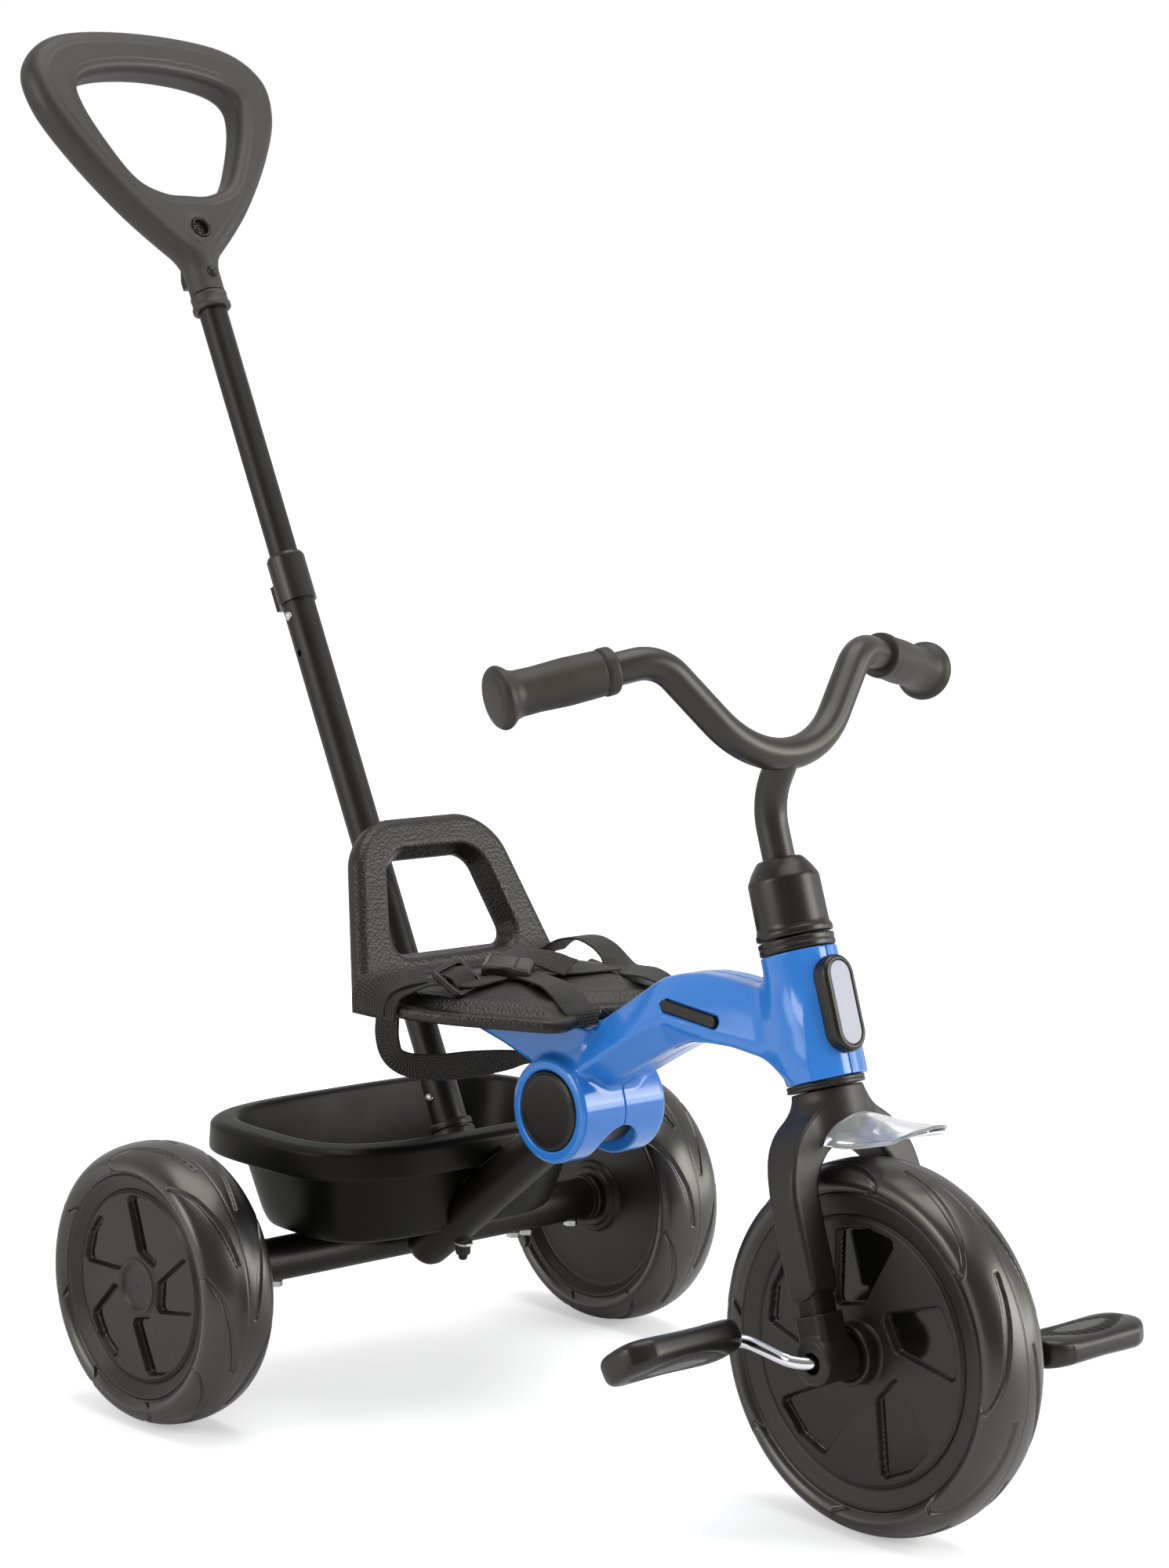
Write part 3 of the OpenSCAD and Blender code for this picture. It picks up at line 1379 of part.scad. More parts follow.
function handlebar_path(more) =
    let (r = bar_side(-1), l = bar_side(1))
    concat([r[1] + more * unit(r[1] - r[0])], corner(r[1], r[0], dip_vertex, shoulder_r),
        corner(r[0], dip_vertex, l[0], dip_r), corner(dip_vertex, l[0], l[1], shoulder_r),
        [l[1] + more * unit(l[1] - l[0])]);

module handlebar() {
    color(dark_grey) on_dip() difference() {
        tube_along(handlebar_path(0), [1, 0, 0.2], bar_r);
        tube_along(handlebar_path(over), [1, 0, 0.2], bar_r - tube_wall);
    }
}

grip_wall_end = 6;
// Along the grip and across it: the flange as shares of its own size, then the body of its size
flange_shares = [[0, 0.74], [0.02, 0.95], [0.06, 1], [0.11, 0.96], [0.15, 0.82]];
grip_shares = [[0.2, 1.01], [0.35, 0.99], [0.6, 1.05], [0.84, 1.01], [0.885, 1.01], [0.9, 1.06],
    [0.98, 1.06], [1, 1.01]];

module grip_place(s) {
    e = bar_side(s);
    d = unit(e[0] - e[1]);
    on_dip() translate(e[1] - d * grip_wall_end)
        rotate([0, 0, atan2(d[1], d[0])]) rotate([0, acos(d[2]), 0]) children();
}

module grip_solid() {
    difference() {
        rotate_extrude() polygon(concat([[0, 0]],
            [for (q = flange_shares) [grip_flange_d / 2 * q[1], grip_len * q[0]]],
            [for (q = grip_shares) [grip_d / 2 * q[1], grip_len * q[0]]], [[0, grip_len]]));
        translate([0, 0, grip_wall_end - gap]) cylinder(h = grip_len, r = bar_r + run);
    }
}

module grip_right() {
    color(black) grip_place(-1) grip_solid();
}

module grip_left() {
    color(black) grip_place(1) grip_solid();
}

frame_shell_right();
frame_shell_left();
hinge_cap_right();
hinge_cap_left();
side_insert_right();
side_insert_left();
headset_upper_ring();
headset_lower_ring();
badge_bezel();
badge_panel();
fold_pin();
seat();
seat_screws();
harness_lap_right();
harness_lap_left();
harness_front_strap();
harness_under_loop();
harness_buckle();
harness_slider();
fold_hub();
down_tube();
cross_tube();
bar_socket();
socket_collar();
basket();
basket_knob();
rear_axle();
axle_screws();
axle_collars();
bar_lower_tube();
bar_sleeve();
sleeve_button();
bar_rivets();
bar_upper_tube();
push_handle();
handle_ring();
handle_screw();
handle_rivet();
bag_hook();
rear_tyre_right();
rear_rim_right();
rear_tyre_left();
rear_rim_left();
fork();
fork_blades();
knuckle_right();
knuckle_left();
fender();
steerer_tube();
stem_cap();
stem();
handlebar();
grip_right();
grip_left();
front_tyre();
front_rim();
crank();
pedal_right();
pedal_left();
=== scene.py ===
import json
import math

import bmesh
import bpy
import numpy as np
from mathutils import Matrix, Vector

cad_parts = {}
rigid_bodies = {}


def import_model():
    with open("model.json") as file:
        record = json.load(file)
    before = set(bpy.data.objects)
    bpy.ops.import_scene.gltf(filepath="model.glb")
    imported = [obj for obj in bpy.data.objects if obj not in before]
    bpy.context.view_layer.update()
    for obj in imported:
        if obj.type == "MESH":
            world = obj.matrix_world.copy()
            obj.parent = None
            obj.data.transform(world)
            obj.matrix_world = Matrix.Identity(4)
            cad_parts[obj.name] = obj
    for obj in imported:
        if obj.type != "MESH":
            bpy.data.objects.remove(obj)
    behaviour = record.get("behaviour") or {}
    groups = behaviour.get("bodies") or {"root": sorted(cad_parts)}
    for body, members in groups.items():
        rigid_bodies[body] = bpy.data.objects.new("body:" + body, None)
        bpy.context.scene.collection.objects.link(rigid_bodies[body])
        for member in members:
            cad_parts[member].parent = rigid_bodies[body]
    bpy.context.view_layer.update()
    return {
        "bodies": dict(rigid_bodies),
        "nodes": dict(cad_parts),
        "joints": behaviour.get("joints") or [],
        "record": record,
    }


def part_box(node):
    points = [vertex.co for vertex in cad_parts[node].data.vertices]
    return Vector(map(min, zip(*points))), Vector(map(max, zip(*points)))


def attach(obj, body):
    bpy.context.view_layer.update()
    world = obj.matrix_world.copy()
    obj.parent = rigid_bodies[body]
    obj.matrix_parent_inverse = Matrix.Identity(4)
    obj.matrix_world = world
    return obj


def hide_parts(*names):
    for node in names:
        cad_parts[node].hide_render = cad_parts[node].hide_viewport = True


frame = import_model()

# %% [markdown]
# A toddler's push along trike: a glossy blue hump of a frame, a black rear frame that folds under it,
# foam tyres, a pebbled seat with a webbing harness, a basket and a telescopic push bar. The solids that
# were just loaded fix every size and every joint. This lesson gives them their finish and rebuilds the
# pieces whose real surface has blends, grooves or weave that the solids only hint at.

# Front axle ahead of the rear one, the wheels' radii, and the distance between the rear wheels' middles
WHEELBASE, FRONT_R, REAR_R, TRACK = 488.0, 125.0, 101.0, 438.0
low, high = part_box("front_tyre")
SHIFT = WHEELBASE - 500 * (low.x + high.x)


def metres(points):
    """Millimetres from the rear axle, x forward, y to the rider's left, z up from the ground, as the scene's metres."""
    return (np.asarray(points, float) - (SHIFT, 0, 0)) / 1000


print("rear axle to the middle of the scene:", round(SHIFT, 3), "mm")

# %% [markdown]
# Most pieces of this trike were moulded or bent, so one idea serves them all: a surface is a grid of
# points that follows two parameters, such as round a wheel and across its tread. A grid whose ends are
# drawn to one point is closed by welding, so no holes are left at poles or seams. Blender's primitives
# could be pushed into these shapes by hand, but a formula says why each point is where it is.

# %% A grid of points becomes a piece that rides on its body


def unit(v):
    """Each row of v divided by its own length."""
    v = np.asarray(v, float)
    return v / np.linalg.norm(v, axis=-1, keepdims=True)


def quads_of(rows, cols):
    """Corner numbers of the squares between neighbouring points of a grid of that many rows and columns."""
    i, j = np.meshgrid(np.arange(rows - 1), np.arange(cols - 1), indexing="ij")
    first = (i * cols + j).ravel()
    return np.stack([first, first + 1, first + cols + 1, first + cols], 1)


def piece_from(name, points, quads, finish, body, stands_for=(), slot=None, crease=35, uv=None, normals=None):
    """A mesh of those points and squares, welded at its seams, smooth but for edges sharper than crease degrees."""
    mesh = bpy.data.meshes.new(name)
    mesh.vertices.add(len(points))
    mesh.vertices.foreach_set("co", metres(points).astype(np.float32).ravel())
    mesh.loops.add(quads.size)
    mesh.loops.foreach_set("vertex_index", quads.astype(np.int32).ravel())
    mesh.polygons.add(len(quads))
    mesh.polygons.foreach_set("loop_start", np.arange(0, quads.size, 4, dtype=np.int32))
    mesh.update(calc_edges=True)
    if uv is not None:
        mesh.uv_layers.new(name="UVMap").data.foreach_set("uv", uv[quads.ravel()].astype(np.float32).ravel())
    if normals is None:
        work = bmesh.new()
        work.from_mesh(mesh)
        bmesh.ops.remove_doubles(work, verts=work.verts, dist=2e-6)
        bmesh.ops.recalc_face_normals(work, faces=work.faces)
        work.to_mesh(mesh)
        work.free()
    mesh.polygons.foreach_set("use_smooth", np.ones(len(mesh.polygons), bool))
    if normals is None:
        mesh.set_sharp_from_angle(angle=math.radians(crease))
    else:
        mesh.normals_split_custom_set_from_vertices(normals)
    mesh.materials.append(finish)
    obj = bpy.data.objects.new(name, mesh)
    bpy.context.scene.collection.objects.link(obj)
    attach(obj, body)
    if stands_for:
        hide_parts(*stands_for)
    print(name, len(mesh.polygons), "faces")
    return obj


def grid_piece(name, grid, finish, body, **more):
    """A piece from an array of points, rows by columns by three."""
    rows, cols = grid.shape[:2]
    return piece_from(name, grid.reshape(-1, 3), quads_of(rows, cols), finish, body, **more)


def closed_ring(grid, ends=True):
    """Repeats the first column after the last, and draws both end rows in to their middles."""
    grid = np.concatenate([grid, grid[:, :1]], 1)
    if ends:
        first = np.broadcast_to(grid[:1, :-1].mean(1, keepdims=True), grid[:1].shape)
        last = np.broadcast_to(grid[-1:, :-1].mean(1, keepdims=True), grid[-1:].shape)
        grid = np.concatenate([first, grid, last], 0)
    return grid


# %% [markdown]
# Colours are written as the hex values one reads off a photograph and turned to linear light by one
# function. Every finish starts from what the real piece is made of, and each one has a grain that is
# measured in millimetres on the piece, so it has the right scale from any distance.

# %% Colour and the one function that adds a shader node


def colour(code):
    """An sRGB hex value such as 3885db as linear red, green, blue and a full alpha."""
    c = np.array([int(code[i : i + 2], 16) for i in (0, 2, 4)]) / 255
    return (*np.where(c <= 0.04045, c / 12.92, ((c + 0.055) / 1.055) ** 2.4), 1.0)


def add(tree, kind, settings=None, **links):
    """A node of that kind: settings are its properties, links its inputs, each a value or another node's output.
    An input is called by its name, or by i and its number where names repeat."""
    made = tree.nodes.new(kind)
    for key, value in (settings or {}).items():
        setattr(made, key, value)
    for key, value in links.items():
        numbered = key[0] == "i" and key[1:].isdigit()
        socket = made.inputs[int(key[1:])] if numbered else made.inputs[key.replace("_", " ")]
        if isinstance(value, bpy.types.NodeSocket):
            tree.links.new(value, socket)
        else:
            socket.default_value = value
    return made


def new_finish(name):
    """An empty material with its shader and its Object coordinates in millimetres."""
    finish = bpy.data.materials.new(name)
    finish.use_nodes = True
    tree = finish.node_tree
    tree.nodes.clear()
    out = add(tree, "ShaderNodeOutputMaterial")
    shader = add(tree, "ShaderNodeBsdfPrincipled")
    tree.links.new(shader.outputs[0], out.inputs[0])
    place = add(tree, "ShaderNodeTexCoord")
    in_mm = add(tree, "ShaderNodeVectorMath", {"operation": "SCALE"}, Vector=place.outputs["Object"], Scale=1000.0)
    return finish, tree, shader, in_mm.outputs[0]


print("helpers ready")

# %% [markdown]
# Moulded and coated blacks make most of this trike, and what tells them apart is their grain: powder
# coat is a fine orange peel, the fork and the seat are moulded in spark-eroded tools that leave pebbles,
# and the basket is nearly smooth. One function makes them all: two sizes of noise in millimetres lift the
# surface, and a slow drift of colour and roughness keeps large areas from looking dead.

# %% A moulded or coated finish with grain


def moulded(name, code, roughness, grain, lift, drift=0.12, gloss=0.5, coat=0.0, pebble=False,
            sheen=(1.0, 0.95, 0.86, 1.0)):
    """Base colour with a slow drift, roughness that varies over centimetres, and a grain of that many millimetres
    whose height is lift millimetres. Pebbles are the cells of a Voronoi pattern with rounded tops."""
    finish, tree, shader, mm = new_finish(name)
    slow = add(tree, "ShaderNodeTexNoise", Vector=mm, Scale=1 / 40, Detail=2.0)
    dark = colour(code)
    light = tuple(min(1.0, c * (1 + drift)) for c in dark[:3]) + (1.0,)
    dim = tuple(c * (1 - drift) for c in dark[:3]) + (1.0,)
    tint = add(tree, "ShaderNodeMix", {"data_type": "RGBA"}, i0=slow.outputs[0], i6=dim, i7=light)
    tree.links.new(tint.outputs[2], shader.inputs["Base Color"])
    rough = add(tree, "ShaderNodeMapRange", Value=slow.outputs[0], i1=0.3, i2=0.7,
                i3=roughness * 0.9, i4=roughness * 1.1)
    tree.links.new(rough.outputs[0], shader.inputs["Roughness"])
    if pebble:
        cells = add(tree, "ShaderNodeTexVoronoi", {"feature": "SMOOTH_F1"}, Vector=mm, Scale=1 / grain,
                    Smoothness=0.6, Randomness=1.0)
        relief = add(tree, "ShaderNodeMath", {"operation": "SUBTRACT"}, i0=1.0, i1=cells.outputs[0]).outputs[0]
    else:
        relief = add(tree, "ShaderNodeTexNoise", Vector=mm, Scale=1 / grain, Detail=2.0, Roughness=0.55).outputs[0]
    bump = add(tree, "ShaderNodeBump", Strength=1.0, Distance=lift / 1000, Height=relief)
    tree.links.new(bump.outputs[0], shader.inputs["Normal"])
    shader.inputs["Specular IOR Level"].default_value = gloss
    shader.inputs["Specular Tint"].default_value = sheen
    shader.inputs["Coat Weight"].default_value = coat
    shader.inputs["Coat Roughness"].default_value = 0.08
    return finish


# Gloss ABS, moulded in a polished tool: a clear even blue, with soft mirror highlights and a faint ripple
BLUE_ABS = moulded("blue_gloss_abs", "2874c6", 0.18, 9.0, 0.05, drift=0.04, gloss=0.5, coat=0.35, sheen=(1, 1, 1, 1))
# Black powder coat on steel tube: satin with a fine orange peel, drawn at 1.2 mm so that it shows
POWDER_COAT = moulded("black_powder_coat", "0f0e0b", 0.4, 1.2, 0.02, gloss=0.32)
# Graphite lacquer of the handlebar: a little lighter and smoother than the powder coat
GRAPHITE = moulded("graphite_lacquer", "211f1b", 0.36, 1.6, 0.015, gloss=0.45)
# Soft rubber of the grips: matt charcoal with a fine bloom
GRIP_RUBBER = moulded("grip_rubber", "282722", 0.52, 1.0, 0.03, gloss=0.35)
# Filled nylon of the push handle: charcoal, with a fine spark texture
HANDLE_NYLON = moulded("handle_nylon", "2b2b29", 0.5, 1.3, 0.06, gloss=0.45)
# Pebbled polypropylene of the seat: a leathery grain that breaks up the light
SEAT_PP = moulded("pebbled_seat_polypropylene", "14120f", 0.4, 2.0, 0.42, gloss=0.42, pebble=True)
# Smooth polypropylene of the basket: deep black with hardly a highlight
BASKET_PP = moulded("basket_polypropylene", "0c0c0a", 0.4, 2.0, 0.012, gloss=0.15)
# EVA foam of the tyres: a closed skin with a soft sheen
TYRE_EVA = moulded("tyre_eva_foam", "15130f", 0.3, 1.4, 0.02, gloss=0.8)
# Satin polypropylene of the wheel discs: dark, and a little warmer than the basket
RIM_PP = moulded("wheel_polypropylene", "161512", 0.4, 1.1, 0.012, gloss=0.4)
# Spark textured polypropylene of the fork cover, knuckles and collars: matt with a fine tooth
FORK_PP = moulded("fork_polypropylene", "151413", 0.42, 1.3, 0.06, gloss=0.42)
# Satin black trim such as drum caps, rings and stem cap: a soft line of light along each edge
TRIM_ABS = moulded("satin_trim_abs", "151513", 0.32, 1.0, 0.012, gloss=0.42)
# Badge panel: silver lacquer with fine flakes
BADGE = moulded("badge_silver_lacquer", "9c9ea8", 0.4, 0.7, 0.02, drift=0.05, gloss=0.5, sheen=(1, 1, 1, 1))
# The wheels' discs are textured, but the floors of their pockets are polished and painted darker as shade: the mark on
# the mesh says where
tree = RIM_PP.node_tree
shader = tree.nodes["Principled BSDF"]
polish_and_shade_mark = add(tree, "ShaderNodeAttribute", {"attribute_name": "polish_and_shade"}).outputs["Fac"]
rough = add(tree, "ShaderNodeMix", i0=polish_and_shade_mark, i2=shader.inputs["Roughness"].links[0].from_socket, i3=0.09)
tree.links.new(rough.outputs[0], shader.inputs["Roughness"])
# Painted shade: the marked floors get a darker base colour, 0a0a08, besides their real low roughness
tint = add(tree, "ShaderNodeMix", {"data_type": "RGBA"}, i0=polish_and_shade_mark, i6=shader.inputs["Base Color"].links[0].from_socket,
           i7=colour("0a0a08"))
tree.links.new(tint.outputs[2], shader.inputs["Base Color"])
print("moulded finishes:", len(bpy.data.materials))

# %% [markdown]
# Chrome and zinc are bare metals, so their colour is in the reflection. The crank is a bent bright bar
# with a few drawing lines; the screws are zinc plated, greyer and duller, with a mottled passivation.

# %% Bright chrome and dull zinc


def plated(name, code, roughness, streak):
    """A metal whose roughness is broken by streaks of that many millimetres."""
    finish, tree, shader, mm = new_finish(name)
    lines = add(tree, "ShaderNodeTexNoise", Vector=mm, Scale=1 / streak, Detail=3.0)
    rough = add(tree, "ShaderNodeMapRange", Value=lines.outputs[0], i1=0.3, i2=0.7,
                i3=roughness * 0.7, i4=roughness * 1.4)
    tree.links.new(rough.outputs[0], shader.inputs["Roughness"])
    shade = tuple(c * 0.86 for c in colour(code)[:3]) + (1.0,)
    tint = add(tree, "ShaderNodeMix", {"data_type": "RGBA"}, i0=lines.outputs[0], i6=shade, i7=colour(code))
    tree.links.new(tint.outputs[2], shader.inputs["Base Color"])
    shader.inputs["Metallic"].default_value = 1.0
    return finish


# Bright chrome of the crank: a mirror that shows the white room as sharp streaks
CHROME = plated("chrome_plate", "e6e6ea", 0.07, 5.0)
# Zinc plate of screws and rivets: a pale, clouded grey
ZINC = plated("zinc_plate", "c0c0bc", 0.3, 2.0)
print("metals ready")

# %% [markdown]
# The fender is clear polycarbonate: a thin sheet that lets most of what lies behind it through, so its edges and
# reflections are what shows. The webbing is black polyester: warp cords run along the strap and the weft makes fine
# ribs across it, so the pattern reads the strap's own length and width in millimetres from its UV map. The ribs'
# height also sets their colour, a painted highlight on the ribs and painted shade in the hollows.

# %% Clear sheet and woven webbing
# Clear polycarbonate: glass-like, with a faint haze that softens its mirror
FENDER_PC, tree, shader, mm = new_finish("clear_polycarbonate")
haze = add(tree, "ShaderNodeTexNoise", Vector=mm, Scale=1 / 6, Detail=2.0)
rough = add(tree, "ShaderNodeMapRange", Value=haze.outputs[0], i1=0.3, i2=0.7, i3=0.02, i4=0.07)
tree.links.new(rough.outputs[0], shader.inputs["Roughness"])
shader.inputs["Base Color"].default_value = colour("f6f8fa")
shader.inputs["Transmission Weight"].default_value = 0.86
shader.inputs["IOR"].default_value = 1.5

# Black polyester webbing: the weave's height paints a highlight on the ribs and shade in the hollows between them
WEBBING, tree, shader, mm = new_finish("black_polyester_webbing")
along = add(tree, "ShaderNodeUVMap", {"uv_map": "UVMap"})
weft = add(tree, "ShaderNodeTexWave", {"bands_direction": "Y", "wave_profile": "SIN"}, Vector=along.outputs[0],
           Scale=0.15, Distortion=0.5, Detail=1.0)
warp = add(tree, "ShaderNodeTexWave", {"bands_direction": "X", "wave_profile": "SIN"}, Vector=along.outputs[0],
           Scale=0.13, Distortion=0.4, Detail=1.0)
weave_relief_and_shade = add(tree, "ShaderNodeMath", {"operation": "MULTIPLY"}, i0=weft.outputs[1], i1=warp.outputs[1])
bump = add(tree, "ShaderNodeBump", Strength=1.0, Distance=0.0009, Height=weave_relief_and_shade.outputs[0])
tree.links.new(bump.outputs[0], shader.inputs["Normal"])
# Painted light: the ribs' tops get a lighter colour as a painted highlight, and the hollows a near black as painted
# shade
tint = add(tree, "ShaderNodeMix", {"data_type": "RGBA"}, i0=weave_relief_and_shade.outputs[0], i6=colour("040302"),
           i7=colour("34302a"))
tree.links.new(tint.outputs[2], shader.inputs["Base Color"])
shader.inputs["Roughness"].default_value = 0.6
shader.inputs["Specular IOR Level"].default_value = 0.22
shader.inputs["Sheen Weight"].default_value = 0.12
print("clear sheet and webbing ready")

# %% [markdown]
# Every solid gets its finish here, by the piece's name. Most are then replaced by a piece made below, and those that
# stay in view, such as the tubes and the sleeve, are dressed already.

# %% Finishes of the solids
FINISH_OF = {
    BLUE_ABS: ["frame_shell_right", "frame_shell_left"],
    TRIM_ABS: ["hinge_cap_right", "hinge_cap_left", "side_insert_right", "side_insert_left", "headset_upper_ring",
               "headset_lower_ring", "badge_bezel", "stem_cap", "bar_sleeve", "sleeve_button", "handle_ring",
               "handle_screw", "handle_rivet", "bag_hook", "harness_buckle", "harness_slider"],
    BADGE: ["badge_panel"],
    SEAT_PP: ["seat"],
    WEBBING: ["harness_lap_right", "harness_lap_left", "harness_front_strap", "harness_under_loop"],
    FORK_PP: ["fold_hub", "fork", "knuckle_right", "knuckle_left", "axle_collars", "socket_collar", "basket_knob",
              "pedal_right", "pedal_left"],
    POWDER_COAT: ["down_tube", "cross_tube", "bar_socket", "bar_lower_tube", "bar_upper_tube", "fork_blades",
                  "steerer_tube"],
    GRAPHITE: ["stem", "handlebar"],
    GRIP_RUBBER: ["grip_right", "grip_left"],
    HANDLE_NYLON: ["push_handle"],
    BASKET_PP: ["basket"],
    TYRE_EVA: ["rear_tyre_right", "rear_tyre_left", "front_tyre"],
    RIM_PP: ["rear_rim_right", "rear_rim_left", "front_rim"],
    ZINC: ["fold_pin", "seat_screws", "rear_axle", "axle_screws", "bar_rivets"],
    CHROME: ["crank"],
    FENDER_PC: ["fender"],
}
for finish, names in FINISH_OF.items():
    for name in names:
        frame["nodes"][name].data.materials.clear()
        frame["nodes"][name].data.materials.append(finish)
print("dressed", sum(map(len, FINISH_OF.values())), "of", len(frame["nodes"]), "solids")

# %% [markdown]
# The blue frame is two moulded halves, closed on the trike's mid plane. A faceted beam, a drum, a head tube
# and a tail under the seat run into each other with soft fillets. Lofting the parts and joining them would
# leave hard lines where the moulding is smooth, so this piece is made another way: every part is a field of
# distances in space, negative inside, and the fields are blended where the parts run together.

# %% Fields of distance


def meet(a, b, k):
    """The nearer of two bodies, with a fillet of about k millimetres in the corner between them."""
    h = np.clip(k - np.abs(a - b), 0, None)
    return np.minimum(a, b) - h * h / (4 * k)


def both(a, b, k):
    """What two bodies share, with its outer edge rounded by about k millimetres."""
    return -meet(-a, -b, k)


def rounded(a, b, r):
    """What two bodies share, with an outer edge of exactly radius r."""
    a, b = a + r, b + r
    return np.minimum(np.maximum(a, b), 0) + np.hypot(np.maximum(a, 0), np.maximum(b, 0)) - r


print("a square corner lies", rounded(np.zeros(1), np.zeros(1), 4.0).round(2)[0], "mm outside one rounded by 4 mm")

# %% [markdown]
# The surface is drawn where the blended field is zero. Points are placed one to a cell of a fine grid and then
# slid down the field's slope onto that surface, so the facets and fillets stay crisp. The slope there is also
# the point's normal.

# %% The skin where a field is zero


def slope_of(field, points, step=0.05):
    """The field's gradient, from a small step each way along each axis."""
    nudge = step * np.eye(3)
    return np.stack([field(points + e) - field(points - e) for e in nudge], 1) / (2 * step)


def skin_of(field, low, high, cell):
    """Points and squares of the surface where a field is zero. A cell with a change of sign gets the mean of the
    crossings on its edges, each crossed grid edge joins its four cells, and the points then slide down the slope."""
    axes = [np.arange(a, b + cell, cell) for a, b in zip(low, high)]
    value = field(np.stack(np.meshgrid(*axes, indexing="ij"), -1).reshape(-1, 3)).reshape([len(a) for a in axes])
    size = np.array(value.shape) - 1
    total, count, edges = np.zeros((*size, 3)), np.zeros(size), []
    for axis in range(3):
        a, b = np.moveaxis(value, axis, 0)[:-1], np.moveaxis(value, axis, 0)[1:]
        crossed = (a < 0) != (b < 0)
        share = np.where(crossed, a / np.where(crossed, a - b, 1), 0)
        place = np.stack(np.meshgrid(*[np.arange(n) for n in value.shape], indexing="ij"), -1).astype(float)
        place = np.moveaxis(place, axis, 0)[:-1].copy()
        place[..., axis] += share
        place *= crossed[..., None]
        for i in (slice(None, -1), slice(1, None)):
            for j in (slice(None, -1), slice(1, None)):
                total += np.moveaxis(place[:, i, j], 0, axis)
                count += np.moveaxis(crossed[:, i, j], 0, axis)
        edges.append((np.moveaxis(crossed, 0, axis), np.moveaxis(a < 0, 0, axis)))
    active = count > 0
    number = np.full(size, -1)
    number[active] = np.arange(active.sum())
    points = np.array([a[0] for a in axes]) + cell * total[active] / count[active][:, None]
    quads = []
    for axis, (crossed, outward) in enumerate(edges):
        e = np.argwhere(crossed)
        others = [k for k in range(3) if k != axis]
        e = e[((e[:, others] > 0) & (e[:, others] < size[others])).all(1)]
        step = np.eye(3, dtype=int)[others]
        ring = [e - step[0] - step[1], e - step[1], e, e - step[0]]
        q = np.stack([number[tuple(r.T)] for r in ring], 1)
        turned = outward[tuple(e.T)] ^ (axis == 1)
        quads.append(np.where(turned[:, None], q, q[:, ::-1]))
    for _ in range(4):
        g = slope_of(field, points)
        points = points - np.clip(field(points) / np.maximum((g * g).sum(1), 0.05), -cell, cell)[:, None] * g
    return points, np.concatenate(quads), unit(slope_of(field, points))


def skin_piece(name, field, low, high, cell, finish, body, **more):
    """A piece whose surface lies where a field is zero, sought between two corners in cells of that size."""
    points, quads, normals = skin_of(field, low, high, cell)
    return piece_from(name, points, quads, finish, body, normals=normals, **more)


print("fields and skins ready")

# %% [markdown]
# The beam's section has a flat top, a narrow roof facet near the seat, an upper side, a crease, a lower side
# that turns in under it, and a flat underside. Its corners are listed along the beam and eased between the
# listed places, as a draughtsman fairs a hull from its stations.

# %% The beam's facets
HEAD_TILT = math.radians(19)
# x, then height and half width of the top edge, the roof edge, the crease and the lower edge
STATIONS = np.array([
    [190, 278, 16, 265, 25, 246, 41, 226, 14],
    [226, 301, 16, 287.5, 24, 268.5, 38, 249, 14],
    [258, 322, 15, 309.5, 22.5, 290, 33.8, 268.5, 15.5],
    [288, 341.5, 15, 334, 19, 311, 30, 286.5, 17],
    [303, 346.5, 15, 340, 19, 317, 28.8, 295, 18],
    [325, 350.5, 15, 343, 19.5, 313, 27.5, 303.5, 22.5],
    [345, 350.8, 15, 343, 19.5, 312, 27, 306, 25],
    [365, 349.5, 15, 342, 19.5, 311, 26.2, 306.5, 24.5],
    [390, 347, 15, 339, 19.5, 309, 25.5, 304, 24],
    [440, 345, 15, 338, 19.5, 304, 25, 296, 23.5]])
ALONG = np.arange(160.0, 460.0)
bell = np.hanning(19) / np.hanning(19).sum()
listed = [np.interp(np.arange(151.0, 469.0), STATIONS[:, 0], c) for c in STATIONS.T[1:]]
FAIRED = np.stack([np.convolve(c, bell, "valid") for c in listed])


def on_head(points):
    """How far points lie in front of the steering axis, and how far up along it from the front axle."""
    x, z = points[:, 0] - WHEELBASE, points[:, 2] - FRONT_R
    c, s = np.cos(HEAD_TILT), np.sin(HEAD_TILT)
    return x * c + z * s, z * c - x * s


def beam_field(x, y, z):
    """The beam: under the top, inside the roof, upper side and lower side facets, and above the underside."""
    top, wt, roof, wr, mid, wm, low, wl = (np.interp(x, ALONG, c) for c in FAIRED)
    d = z - top
    for zu, wu, zl, wd in ((top, wt, roof, wr), (roof, wr, mid, wm), (mid, wm, low, wl)):
        n = np.hypot(zu - zl, wd - wu)
        d = both(d, ((y - wu) * (zu - zl) + (z - zu) * (wd - wu)) / n, 4.0)
    return both(d, low - z, 4.0)


print("beam faired through", len(STATIONS), "stations, crest at", FAIRED[0].max().round(1), "mm")

# %% [markdown]
# The drum, the tail under the seat and the head tube run into the beam with fillets of their own. What is hollow
# is taken away afterwards: the slot that lets the rear frame swing, the room for the hub, the bed of each drum
# cap and the port in each side. The two halves part on the mid plane.

# %% The blue frame and its two halves
HEAD_R, HEAD_FROM, HEAD_LEN = 25.75, 177.4, 86.6
DRUM, DRUM_R, DRUM_HALF, BEAM_BACK = np.array([204.8, 237.3]), 37.5, 40.0, 200
# The tail: height of the seat on it, half width, its two ends, and x and height of its underside
SEAT_Z, TAIL_HALF, TAIL_BACK, TAIL_FRONT = 299.0, 30.5, 93, 232
TAIL = np.array([[60, 297], [92, 289], [118, 281], [145, 274.7], [175.5, 265.4], [240, 246]])
